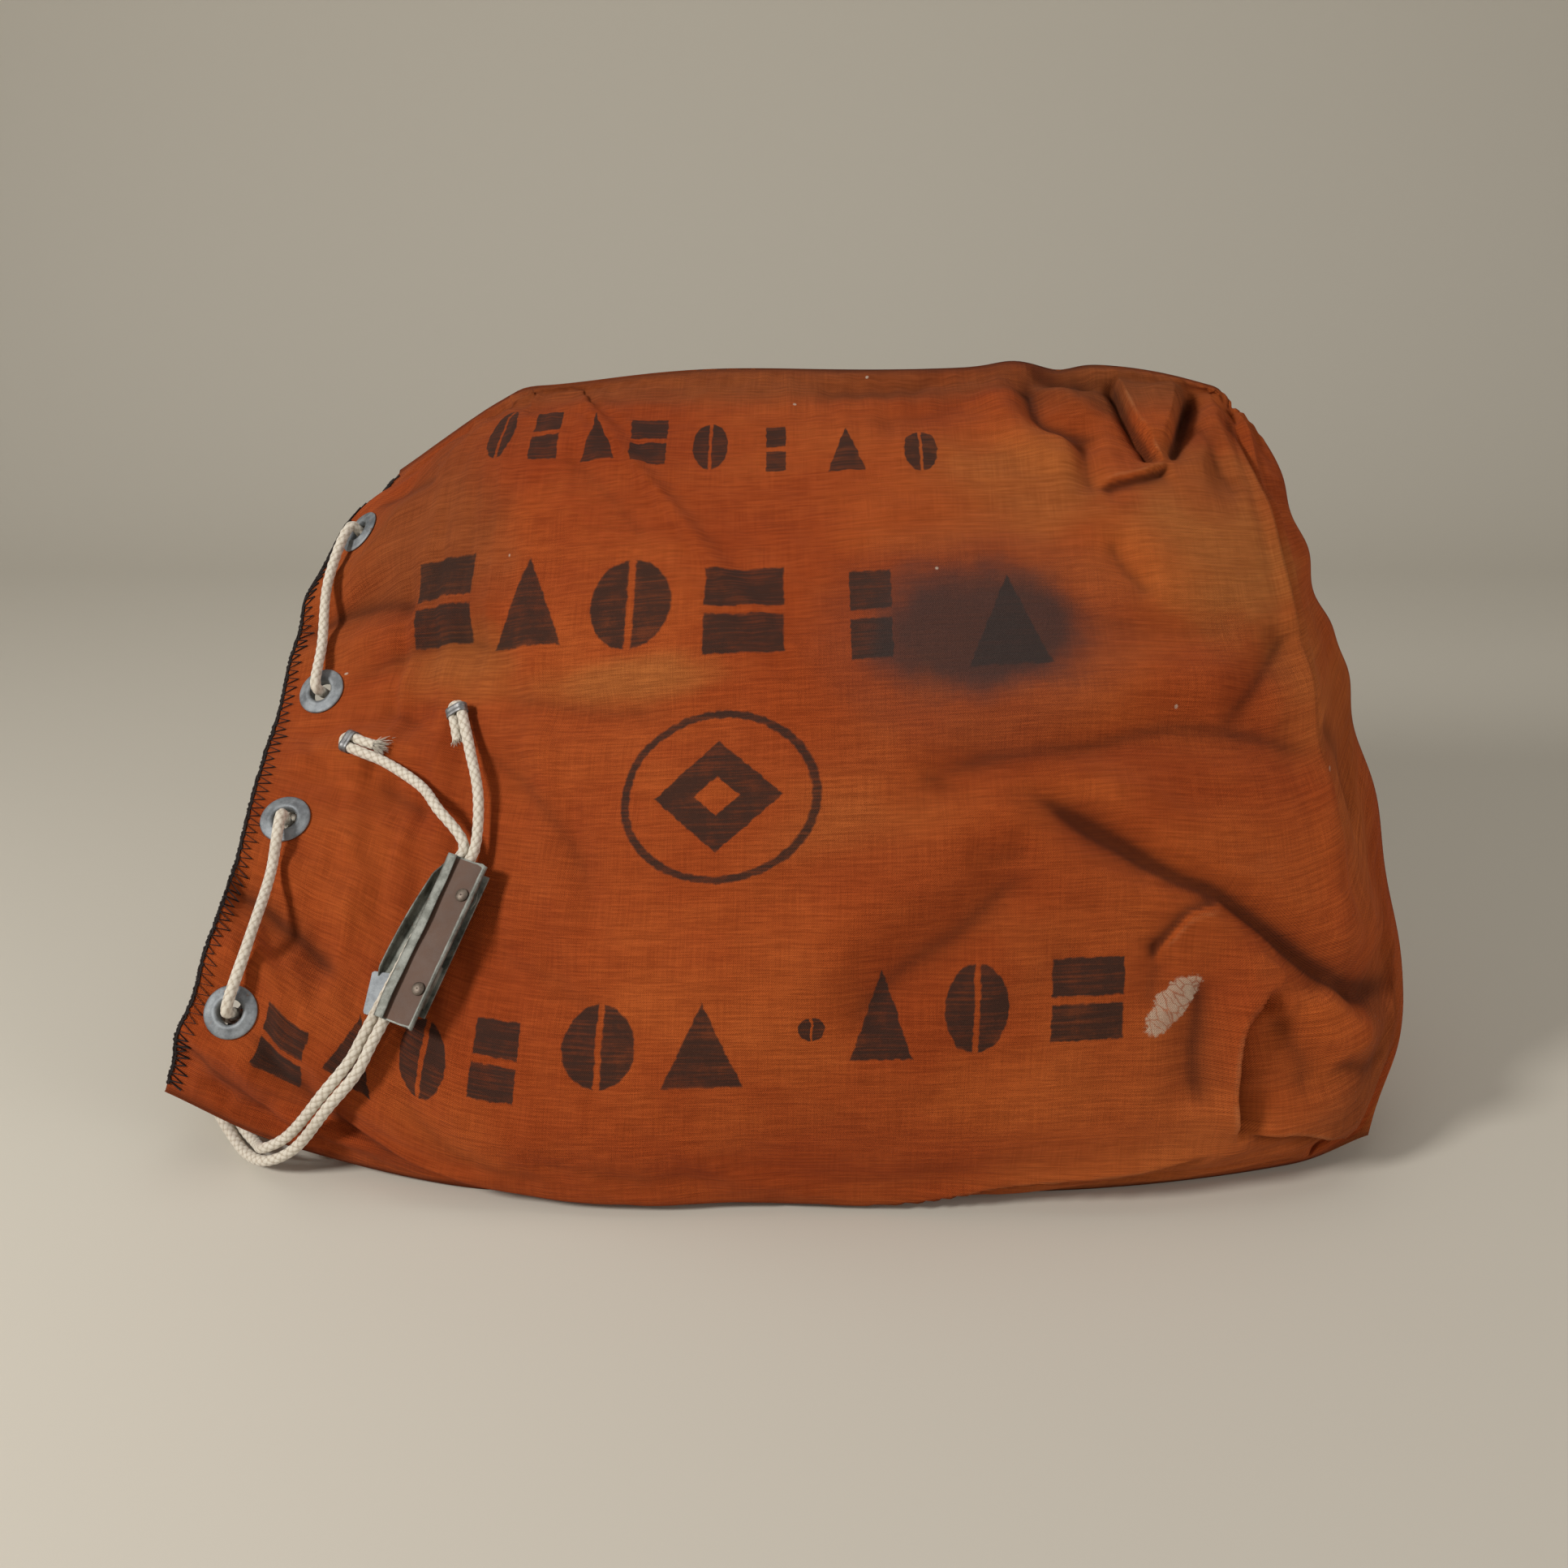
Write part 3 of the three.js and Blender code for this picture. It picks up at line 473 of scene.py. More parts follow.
        # smoky stain
        q = s.vec("DIVIDE", s.vec("SUBTRACT", part, (0.65, 0.632, 0)), (0.098, 0.080, 1))
        cloud = s.math("ADD", s.vec("LENGTH", q), s.math("MULTIPLY_ADD", s.noise(uv, 16, 4, 0.6), 0.9, -0.45))
        stain = s.times(s.ramp(cloud, 1.12, 0.50), 0.84)
        colour = s.mix(stain, colour, (0.040, 0.033, 0.032))
        ghost = s.times(s.ramp(s.vec("LENGTH", s.vec("MULTIPLY", q, (0.7, 0.62, 1))), 1.1, 0.7), 0.18)
        colour = s.mix(ghost, colour, (0.08, 0.05, 0.04))
        # dried paint smear, cracked across
        turn = s.node("ShaderNodeVectorRotate", rotation_type="Z_AXIS")
        from_smear = s.vec("SUBTRACT", s.vec("MULTIPLY", part, (0.66, 0.5, 0)), (0.5215, 0.1375, 0))
        s.put(turn.inputs["Vector"], from_smear)
        turn.inputs["Angle"].default_value = -0.80
        q = s.vec("DIVIDE", turn.outputs[0], (0.0200, 0.0078, 1))
        blot = s.math("ADD", s.vec("LENGTH", q), s.times(s.noise(uv, 210, 4, 0.7), 0.9))
        crack = s.node("ShaderNodeTexVoronoi", feature="DISTANCE_TO_EDGE")
        s.put(crack.inputs["Vector"], s.vec("MULTIPLY", turn.outputs[0], (1.0, 0.45, 1)))
        crack.inputs["Scale"].default_value = 240
        smear = s.times(s.ramp(blot, 1.42, 1.26), s.ramp(crack.outputs["Distance"], -0.05, 0.09))
        smear = s.times(smear, s.math("MULTIPLY_ADD", s.noise(turn.outputs[0], 150, 3, 0.6), 0.9, 0.42))
        colour = s.mix(s.times(smear, 0.82), colour, (0.56, 0.43, 0.32))
        specks = s.node("ShaderNodeTexVoronoi")
        s.put(specks.inputs["Vector"], uv)
        specks.inputs["Scale"].default_value = 34
        dots = s.times(s.ramp(specks.outputs["Distance"], 0.045, 0.025),
                      s.ramp(s.noise(uv, 9, 2, 0.5), 0.57, 0.62))
        colour = s.mix(s.times(dots, 0.7), colour, (0.60, 0.50, 0.40))
    height = s.math("ADD", s.times(weave, 0.35), s.times(slub, 1.2))
    height = s.math("ADD", height, s.times(slub2, 0.8))
    n1 = s.bump(height, 0.75, 0.0008)
    n2 = s.bump(s.noise(uv, 24, 4, 0.6, (1, 1.5, 1)), 0.35, 0.004, n1)
    return s.finish(colour, 0.95, n2, Sheen_Weight=0.02, Sheen_Roughness=0.5, Specular_IOR_Level=0.06)


def metal(name, base, dark, rust=0.0, rough=0.45, scale=160.0, metallic=0.85, paint=None):
    s = Shade(name)
    xyz = s.place()
    cloud = s.noise(xyz, scale, 5, 0.65)
    fine = s.noise(xyz, scale * 9, 4, 0.7)
    colour = s.mix(s.ramp(cloud, 0.34, 0.66), dark, base)
    colour = s.mix(s.times(s.ramp(fine, 0.5, 0.75), 0.35), colour, tuple(c * 0.5 for c in dark))
    rough_v = s.math("MULTIPLY_ADD", cloud, 0.35, rough - 0.12)
    metal_v = metallic
    if rust:
        spots = s.noise(xyz, scale * 0.8, 6, 0.7, (1, 1, 1), 0.4)
        spots = s.ramp(spots, 0.68 - rust * 0.2, 0.74 - rust * 0.1)
        colour = s.mix(spots, colour, (0.17, 0.065, 0.025))
        rough_v = s.math("MAXIMUM", rough_v, s.times(spots, 0.85))
        metal_v = s.times(s.math("SUBTRACT", 1.0, spots), metallic)
    if paint:
        chips = s.math("ADD", s.times(s.noise(xyz, scale * 1.4, 6, 0.75), 0.8),
                       s.times(fine, 0.2))
        wear = s.point_value("wear")
        left = s.math("MINIMUM", s.ramp(chips, 0.67, 0.64),
                      s.ramp(s.math("ADD", s.times(chips, 0.5), wear), 0.86, 0.74))
        tint = s.mix(s.noise(xyz, scale * 0.5, 4, 0.6), tuple(c * 0.7 for c in paint),
                     tuple(c * 1.35 for c in paint))
        colour = s.mix(left, colour, tint)
        rough_v = s.math("ADD", s.times(left, 0.1), rough_v)
        metal_v = s.times(s.math("SUBTRACT", 1.0, left), metallic)
    normal = s.bump(s.math("ADD", s.times(cloud, 0.7), s.times(fine, 0.3)), 0.35, 0.0006)
    return s.finish(colour, rough_v, normal, metal_v)


def cotton(name):
    s = Shade(name)
    xyz = s.place()
    relief = s.point_value("relief")
    fuzz = s.noise(xyz, 2600, 3, 0.7)
    dirt = s.noise(xyz, 45, 4, 0.6)
    # painted shade and highlight: the cord is coloured darker down between the braid's strands and lighter on
    # their tops
    colour = s.mix(s.ramp(relief, 0.15, 0.8), (0.43, 0.365, 0.285), (0.68, 0.63, 0.54))
    colour = s.mix(s.times(s.ramp(dirt, 0.5, 0.72), 0.35), colour, (0.42, 0.36, 0.28))
    colour = s.mix(s.times(s.ramp(fuzz, 0.55, 0.7), 0.25), colour, (0.83, 0.79, 0.71))
    normal = s.bump(fuzz, 0.5, 0.0003)
    return s.finish(colour, 0.95, normal, Sheen_Weight=0.2, Specular_IOR_Level=0.2)


def thread_black(name):
    s = Shade(name)
    xyz = s.place()
    fuzz = s.noise(xyz, 2200, 3, 0.7)
    colour = s.mix(fuzz, (0.010, 0.008, 0.008), (0.045, 0.036, 0.034))
    return s.finish(colour, 0.9, s.bump(fuzz, 0.5, 0.0003), Specular_IOR_Level=0.2)


CANVAS_FRONT = canvas("canvas_front", True)
CANVAS_BACK = canvas("canvas_back", False)
ZINC = metal("eyelet_zinc", (0.29, 0.315, 0.335), (0.15, 0.165, 0.18), 0.3, 0.55, 140, 0.55)
STEEL = metal("aged_steel", (0.27, 0.28, 0.25), (0.085, 0.09, 0.075), 0.3, 0.58, 130, 0.5)
RIVET = metal("rivet_steel", (0.18, 0.145, 0.115), (0.085, 0.060, 0.045), 0.1, 0.40, 220, 0.45)
CLIP = metal("clip_steel", (0.33, 0.335, 0.34), (0.17, 0.17, 0.175), 0.0, 0.42, 260, 0.7)
PLATE = metal("plate_paint", (0.27, 0.28, 0.255), (0.11, 0.115, 0.10), 0.2, 0.52, 150, 0.5,
              (0.098, 0.052, 0.034))
COTTON = cotton("cord_cotton")
THREAD = thread_black("edge_thread")


# ---------------------------------------------------------------- cloth
# Folds, given in cloth coordinates: points (u, v), height in mm (negative is a valley),
# half width in mm, and how sharp the line is (0 round, 1 creased).
FOLDS = [
    # pinch near the top right
    ([(.886, .960), (.874, .93), (.8503, .8704), (.830, .828)], -8.0, 8, .8),
    ([(.835, .845), (.840, .90), (.838, .97)], 2.5, 12, .2),
    ([(.7106, .975), (.7157, .90), (.7324, .878), (.7524, .8685), (.775, .865)], -5.0, 10, .6),
    ([(.69, .955), (.70, .90), (.72, .86), (.76, .845)], 3.0, 14, .2),
    ([(.752, .87), (.7515, .8134), (.758, .78)], -2.6, 7, .5),
    ([(.715, .99), (.75, .972), (.785, .965)], -4.0, 9, .6),
    ([(.875, .905), (.885, .84), (.90, .78)], -2.5, 12, .3),
    ([(.915, .93), (.935, .86), (.95, .78)], -3.0, 12, .4),
    ([(.66, .93), (.62, .905), (.57, .89)], -1.5, 10, .3),
    ([(.64, .99), (.60, .965), (.52, .955)], -2.0, 9, .4),
    # long valley across the lower right
    ([(.685, .470), (.7121, .4535), (.7511, .4241), (.7936, .3927), (.8305, .3754), (.8717, .3333),
      (.9001, .2935), (.945, .225), (.99, .15)], -8.0, 9, .75),
    ([(.74, .462), (.80, .43), (.85, .405), (.90, .35), (.95, .28)], 3.5, 16, .3),
    ([(.77, .385), (.81, .375), (.845, .345), (.875, .31)], 2.6, 9, .3),
    # hood over the pocket crease and the hollows round it
    ([(.845, .312), (.858, .302), (.868, .292)], 3.5, 5, .5),
    ([(.811, .300), (.809, .27), (.806, .235), (.806, .20), (.812, .165)], -4.0, 11, .4),
    ([(.862, .262), (.872, .235), (.88, .20), (.873, .165)], -3.0, 14, .2),
    ([(.895, .275), (.905, .235), (.93, .20)], 3.0, 12, .3),
    ([(.90, .20), (.93, .17), (.965, .13)], -3.0, 10, .4),
    ([(.785, .335), (.778, .30), (.772, .27)], -2.2, 8, .4),
    # soft waves of the belly
    ([(.545, .255), (.585, .31), (.6332, .3485), (.665, .385), (.70, .41)], -3.4, 17, .3),
    ([(.515, .30), (.56, .36), (.61, .40), (.655, .44), (.70, .475)], 3.0, 18, .2),
    ([(.635, .43), (.66, .415), (.69, .425)], -1.6, 7, .6),
    ([(.60, .50), (.63, .475), (.67, .462)], -1.2, 9, .5),
    ([(.60, .49), (.6611, .5087), (.7393, .5174), (.8067, .5318), (.88, .52), (.95, .47)], -3.4, 12, .5),
    ([(.66, .545), (.74, .555), (.81, .565), (.88, .55)], 2.4, 16, .2),
    ([(.9243, .6276), (.8861, .5833), (.8625, .5566), (.84, .535)], -3.0, 11, .5),
    ([(.7638, .7324), (.7769, .6959), (.80, .665)], -2.4, 9, .6),
    ([(.71, .66), (.77, .635), (.84, .63), (.90, .65)], -1.6, 13, .3),
    ([(.80, .345), (.86, .43), (.92, .40), (.97, .33)], 1.8, 14, .3),
    ([(.955, .50), (.965, .42), (.97, .33)], -2.5, 8, .5),
    ([(.72, .34), (.69, .30), (.655, .28)], -1.4, 12, .3),
    ([(.20, .54), (.26, .50), (.31, .44), (.34, .37)], -2.2, 12, .3),
    ([(.27, .86), (.33, .80), (.38, .73)], -1.6, 12, .3),
    ([(.22, .60), (.32, .575), (.42, .565)], -2.0, 11, .4),
    ([(.30, .13), (.38, .10), (.47, .10)], -1.6, 11, .3),
    ([(.18, .17), (.24, .12), (.33, .085)], -1.8, 12, .3),
    ([(.24, .33), (.30, .31), (.37, .27)], -1.5, 12, .3),
    # mouth: dips between the eyelets and creases that run in from them
    ([(.02, .50), (.04, .50), (.075, .50), (.10, .49)], 2.4, 15, .1),
    ([(.10, .47), (.13, .455), (.17, .44)], -2.4, 12, .4),
    ([(.085, .585), (.11, .57), (.14, .555)], -2.0, 9, .5),
    ([(.0, .745), (.03, .75), (.07, .73), (.12, .70)], -4.0, 15, .4),
    ([(.0, .26), (.03, .262), (.07, .25), (.12, .23)], -4.5, 16, .4),
    ([(.035, .90), (.07, .885), (.11, .855)], -2.5, 8, .5),
    ([(.04, .40), (.075, .385), (.11, .36)], 2.2, 9, .4),
    ([(.045, .12), (.09, .10), (.15, .07), (.22, .04)], -3.0, 9, .5),
    ([(.0, .055), (.05, .05), (.10, .035)], -2.5, 7, .5),
    ([(.05, .63), (.10, .655), (.17, .66), (.24, .64)], -2.4, 11, .4),
    ([(.05, .53), (.11, .53), (.18, .51)], 2.4, 12, .3),
]
# Steps: one side of the line lies over the other. Points, lip height, drop beyond it, their widths
# and how far the lip hangs over, in mm; the lip is on the left of the line.
STEPS = [
    ([(.8350, .128), (.8315, .1575), (.8296, .1912), (.8311, .2255), (.8366, .2557), (.848, .275),
      (.8621, .2899)], 4.5, 7.5, 9, 13, 3.2),
    ([(.8243, .8234), (.815, .85), (.8061, .883), (.800, .93), (.7983, .985)][::-1], 1.5, 8.5, 9, 11, 1.6),
    ([(.757, .794), (.7899, .8045), (.810, .812), (.830, .8234)], 1.6, 3.4, 10, 9, 1.4),
    ([(.42, .022), (.52, .030), (.60, .045), (.686, .0784), (.7756, .096), (.8285, .1225)],
     2.0, 4.0, 10, 10, 1.4),
    ([(.8358, .1398), (.85, .136), (.8776, .1261), (.912, .096), (.955, .05)], 2.4, 5.0, 10, 9, 1.6),
    ([(.7750, .3100), (.7966, .3518), (.8114, .3627), (.8320, .3675)][::-1], 1.0, 1.8, 9, 9, .5),
]
BACK_FOLDS = [
    ([(.0, .25), (.04, .26), (.10, .25)], -3.0, 14, .4), ([(.0, .5), (.05, .5), (.12, .48)], -4.0, 13, .5),
    ([(.0, .75), (.05, .74), (.10, .72)], -3.0, 13, .5),
    ([(.12, .95), (.2, .85), (.3, .78), (.42, .75)], -4.5, 12, .4),
    ([(.85, .95), (.80, .87), (.78, .78), (.70, .70)], -6.0, 10, .6),
    ([(.95, .5), (.85, .52), (.75, .5)], -5.0, 10, .5),
    ([(.45, .98), (.47, .90), (.5, .8)], -3.0, 10, .4), ([(.3, .6), (.42, .57), (.55, .6)], 2.6, 16, .3),
    ([(.15, .55), (.25, .62), (.38, .66)], -3.5, 12, .5),
    ([(.62, .45), (.70, .52), (.80, .62)], -3.5, 12, .5),
    ([(.90, .75), (.84, .70), (.76, .66)], -4.0, 10, .5),
    ([(.55, .62), (.6, .72), (.62, .85)], -3.0, 13, .4),
    ([(.92, .36), (.86, .42), (.78, .44)], -3.5, 11, .5),
    ([(.40, .80), (.52, .77), (.64, .79)], 2.6, 15, .3),
]
BACK_STEPS = [([(.95, .90), (.89, .82), (.86, .74), (.85, .68)], 2.5, 5.0, 10, 11, 1.6)]


def nearest(points, u, v):
    """Distance to a rounded line through the points, share of its length, and its direction there."""
    x, y = u * FLAT_LENGTH, v * FLAT_WIDTH
    p = np.array(points) * (FLAT_LENGTH, FLAT_WIDTH)
    line = cubic(np.linspace(0, 1, len(p)), p, np.linspace(0, 1, 8 * (len(p) - 1) + 1))
    seg = np.linalg.norm(np.diff(line, axis=0), axis=1)
    run = np.concatenate([[0], np.cumsum(seg)])
    best, where, side = np.full_like(x, 1e9), np.zeros_like(x), np.zeros_like(x)
    heading = np.zeros((len(x), 2))
    for k in range(len(line) - 1):
        a, d = line[k], line[k + 1] - line[k]
        s = np.clip(((x - a[0]) * d[0] + (y - a[1]) * d[1]) / (d @ d), 0, 1)
        dist = np.hypot(x - a[0] - s * d[0], y - a[1] - s * d[1])
        hit = dist < best
        best = np.where(hit, dist, best)
        where = np.where(hit, run[k] + s * seg[k], where)
        side = np.where(hit, np.sign(d[0] * (y - a[1]) - d[1] * (x - a[0])), side)
        heading[hit] = d / np.linalg.norm(d)
    return best, where / run[-1], side, heading


def fold_fields(folds, steps, u, v):
    """Height along the normal, slide along the cloth (x, y) and a fold value (-1 valley to 1 crest) that the
    cloth shader paints as shade and highlight.
    """
    total, shade, slide = np.zeros_like(u), np.zeros_like(u), np.zeros((len(u), 2))
    for points, height, width, sharp in folds:
        line, f, _, _ = nearest(points, u, v)
        best = np.hypot(line, 1.9) - 1.9
        ends = smooth(0, 0.22, f + 0.06) * smooth(0, 0.30, 1 - f + 0.04)
        shape = sharp * np.exp(-best / width * 1.7) + (1 - sharp) * np.exp(-(best / width) ** 2)
        total += height * ends * shape
        # painted shade along valleys, with a thin dark line on sharp ones, and painted highlight along crests
        weight = min(1.0, abs(height) / 7.0)
        if height < 0:
            total += -0.28 * height * ends * np.exp(-((best - 1.9 * width) / width) ** 2)
            dark = 1.05 * np.exp(-best / width * 2.0) + .7 * sharp * np.exp(-(line / 3.2) ** 2)
            shade -= weight * ends * dark
        else:
            shade += 0.6 * weight * ends * np.exp(-(best / width) ** 2)
    for points, lip, drop, lip_width, drop_width, hang in steps:
        best, f, side, heading = nearest(points, u, v)
        ends = smooth(0, 0.18, f) * smooth(0, 0.16, 1 - f)
        signed = best * np.where(side == 0, 1, side)
        upper = smooth(-2.3, 2.3, signed)
        on_lip = upper * np.exp(-np.maximum(signed, 0) / lip_width)
        below = (1 - upper) * np.exp(-np.maximum(-signed, 0) / drop_width)
        total += ends * (on_lip * lip - below * drop)
        # the lip is carried over the line, towards its right
        right = np.column_stack([heading[:, 1], -heading[:, 0]])
        carried = hang * upper * np.exp(-np.maximum(signed, 0) / (lip_width * .8)) - .3 * hang * below
        slide += right * (ends * carried)[:, None]
        # painted highlight along the lip's edge and painted shadow in the drop beneath it
        crest = 0.8 * upper * np.exp(-((signed - 2.2) / 2.0) ** 2)
        shade += ends * (crest - 1.5 * (1 - upper) * np.exp(-np.maximum(-signed, 0) / 3.6))
    return total, slide, np.clip(shade, -1, 1)


NOISE_WAVES = [(rng.uniform(-1, 1), rng.uniform(-1, 1), rng.uniform(0, 6.28)) for _ in range(26)]


def ripple(u, v, seed=0):
    """Small uneven cloth surface: a few crossed long waves."""
    x, y = u * FLAT_LENGTH, v * FLAT_WIDTH
    h = np.zeros_like(x)
    for k, (a, b, c) in enumerate(NOISE_WAVES):
        size = 35 + 9 * (k % 13)
        bend = 6 * np.sin(x / 67.0 + k + seed) + 6 * np.sin(y / 53.0 + 2 * k)
        h += np.sin((a * (x + bend) + b * (y + bend)) * 2 * np.pi / size + c + seed) * size / 95
    return h / 5.0


def seam_shape(u, v):
    """The seams are drawn in a little and pucker."""
    x, y = u * FLAT_LENGTH, v * FLAT_WIDTH
    side = np.minimum(y, FLAT_WIDTH - y)
    end = FLAT_LENGTH - x
    d = np.minimum(side, end)
    along = np.where(side < end, x, y)
    pucker = np.sin(along * 2 * np.pi / 13 + 2 * np.sin(along / 31)) * np.exp(-((d - 7) / 6) ** 2)
    return 1.0 * np.exp(-((d - 5) / 5) ** 2) + 0.55 * pucker


SIM_U, SIM_V, SIM_FRAMES, SIM_CAP = 84, 62, 34, 9.0
FOLD_GAIN = 1.75


def settle():
    """A short cloth run over the filled shape. Returns {side: displacement on the SIM grid} in mm."""
    u = np.linspace(0, 1, SIM_U)
    v = np.linspace(0, 1, SIM_V)
    uu, vv = np.meshgrid(u, v, indexing="ij")
    flat_u, flat_v = uu.ravel(), vv.ravel()
    verts, faces, shared, ids = [], [], {}, {}
    for panel in (front, back):
        p = panel.point(flat_u, flat_v)
        index = np.zeros(len(p), int)
        for k in range(len(p)):
            i, j = divmod(k, SIM_V)
            key = (i, j) if (j in (0, SIM_V - 1) or i == SIM_U - 1) else None
            if key is not None and key in shared:
                index[k] = shared[key]
                continue
            index[k] = len(verts)
            verts.append(p[k] * MM)
            if key is not None:
                shared[key] = len(verts) - 1
        ids[panel.side] = index
        for i in range(SIM_U - 1):
            for j in range(SIM_V - 1):
                near, far = i * SIM_V + j, (i + 1) * SIM_V + j
                q = [index[near], index[far], index[far + 1], index[near + 1]]
                faces.append(tuple(q if panel.side > 0 else q[::-1]))
    mesh = bpy.data.meshes.new("bag_sim")
    mesh.from_pydata([tuple(p) for p in verts], [], faces)
    mesh.update()
    bag = placed("bag_sim", mesh)
    # the filling: the same shape, drawn in by a few millimetres
    core_mesh = mesh.copy()
    core = placed("filling_sim", core_mesh)
    normals = np.zeros(len(core_mesh.vertices) * 3)
    core_mesh.vertices.foreach_get("normal", normals)
    co = np.array(verts) - normals.reshape(-1, 3) * 0.007
    co[:, 2] = np.maximum(co[:, 2], 0.004)
    core_mesh.vertices.foreach_set("co", co.ravel())
    core_mesh.update()
    core.modifiers.new("hit", "COLLISION")
    core.collision.thickness_outer = 0.002
    core.collision.cloth_friction = 18
    pins = bag.vertex_groups.new(name="pins")
    for index in ids.values():
        for k, vert in enumerate(index):
            i, j = divmod(k, SIM_V)
            on_seam = i <= 2 or i == SIM_U - 1 or j in (0, SIM_V - 1)
            if on_seam or verts[vert][2] < 0.0015:
                pins.add([int(vert)], 1.0, "REPLACE")
    cloth = bag.modifiers.new("cloth", "CLOTH")
    st = cloth.settings
    st.quality = 6
    st.mass = 0.35
    st.tension_stiffness = st.compression_stiffness = 18
    st.shear_stiffness = 10
    st.bending_stiffness = 0.6
    st.tension_damping = st.compression_damping = st.shear_damping = 8
    st.bending_damping = 1.5
    st.vertex_group_mass = "pins"
    st.shrink_min = -0.028
    st.use_pressure = True
    st.uniform_pressure_force = 0.35
    cloth.collision_settings.use_collision = True
    cloth.collision_settings.distance_min = 0.002
    cloth.collision_settings.collision_quality = 2
    cloth.point_cache.frame_start, cloth.point_cache.frame_end = 1, SIM_FRAMES
    scene = bpy.context.scene
    scene.frame_start, scene.frame_end = 1, SIM_FRAMES
    for f in range(1, SIM_FRAMES + 1):
        scene.frame_set(f)
    deps = bpy.context.evaluated_depsgraph_get()
    result = np.zeros(len(verts) * 3)
    bag.evaluated_get(deps).data.vertices.foreach_get("co", result)
    moved = (result.reshape(-1, 3) - np.array(verts)) * 1000
    size = np.linalg.norm(moved, axis=1)
    print("cloth moved mm: mean %.2f max %.2f" % (size.mean(), size.max()))
    moved *= (np.tanh(size / SIM_CAP) * SIM_CAP / np.maximum(size, 1e-9))[:, None]
    scene.frame_set(1)
    for o in (bag, core):
        data = o.data
        bpy.data.objects.remove(o)
        bpy.data.meshes.remove(data)
    return {side: moved[index].reshape(SIM_U, SIM_V, 3) for side, index in ids.items()}


def sample(field, u, v):
    """Smooth bilinear read of a SIM grid field."""
    x, y = u * (SIM_U - 1), v * (SIM_V - 1)
    i = np.clip(x.astype(int), 0, SIM_U - 2)
    j = np.clip(y.astype(int), 0, SIM_V - 2)
    s, t = (x - i)[:, None], (y - j)[:, None]
    return (field[i, j] * (1 - s) * (1 - t) + field[i + 1, j] * s * (1 - t)
            + field[i, j + 1] * (1 - s) * t + field[i + 1, j + 1] * s * t)


def spread(count, near):
    """Rows from 0 to 1, closer together round the given places: (centre, half width, gain)."""
    t = np.linspace(0, 1, 2001)
    density = np.ones_like(t)
    for centre, half, gain in near:
        density += gain * np.exp(-((t - centre) / half) ** 2)
    run = np.concatenate([[0], np.cumsum((density[1:] + density[:-1]) / 2)])
    return np.interp(np.linspace(0, 1, count), run / run[-1], t)


SIM = settle()


def cloth_point(panel, u, v):
    """The finished cloth surface: base shape, settled cloth, listed folds, ripple and seams."""
    p = panel.point(u, v)
    n = panel.normals(np.clip(u, 0, .995), np.clip(v, .004, .996))
    hold = np.ones_like(u)
    for centre, _ in panel.spots:
        hold *= smooth(15, 34, np.linalg.norm(p - centre, axis=1))
    seam = smooth(0, 0.03, v) * smooth(0, 0.03, 1 - v) * smooth(0, 0.03, 1 - u)
    h, slide, _ = panel.folds(u, v)
    h = FOLD_GAIN * h + ripple(u, v, 0 if panel.side > 0 else 3)
    h = h * hold * seam + seam_shape(u, v) * smooth(0.0, 0.08, u)
    floor = smooth(0, 14, p[:, 2])
    edge = smooth(0, 0.02, np.minimum(v, 1 - v)) * smooth(0, 0.015, 1 - u)
    # slide along the cloth: the two surface directions, per millimetre of flat cloth
    e = 0.002
    in_cloth = lambda t: np.clip(t, 0, 1)
    along = panel.point(in_cloth(u + e), v) - panel.point(in_cloth(u - e), v)
    along /= 2 * e * FLAT_LENGTH
    across = panel.point(u, in_cloth(v + e)) - panel.point(u, in_cloth(v - e))
    across /= 2 * e * FLAT_WIDTH
    keep = (hold * seam * edge)[:, None]
    p = p + (along * slide[:, :1] + across * slide[:, 1:]) * keep
    p = p + n * (np.minimum(h, 6.0) * (floor if panel.side < 0 else np.maximum(floor, 0.25)) * edge)[:, None]
    if SIM[panel.side] is not None:
        p = p + sample(SIM[panel.side], u, v) * (hold * seam * floor)[:, None]
    # the bottom seam and the top seam wander a little; both panels share it
    end = 2.6 * np.sin(v * 21 + .8) * np.sin(v * 8.3 + .4) + 1.2 * np.sin(v * 47)
    end = end * smooth(.03, .12, v) * smooth(.02, .10, 1 - v) * np.exp(-((1 - u) * FLAT_LENGTH / 26) ** 2)
    top = 1.6 * np.sin(u * 17 + .5) + 2.4 * np.exp(-((u - .70) / .022) ** 2)
    top = top - 3.0 * np.exp(-((u - .745) / .02) ** 2)
    top = top * smooth(.1, .3, u) * smooth(.02, .12, 1 - u) * np.exp(-((1 - v) * FLAT_WIDTH / 26) ** 2)
    p = p + end[:, None] * np.array([.9, 0, .25]) + np.minimum(top, 2.5)[:, None] * np.array([0, 0, 1.0])
    p[:, 2] = np.maximum(p[:, 2], 0.0)
    return p


# Where each panel's rows lie closer together, along it and across it.
DENSE = {1: ([(.02, .04, .6), (.83, .06, 2.2)],
             [(.13, .06, .9), (.30, .09, .7), (.815, .03, 1.6), (.91, .05, .7)]),
         -1: ([(.02, .04, .8)], [(.1, .1, .2)])}


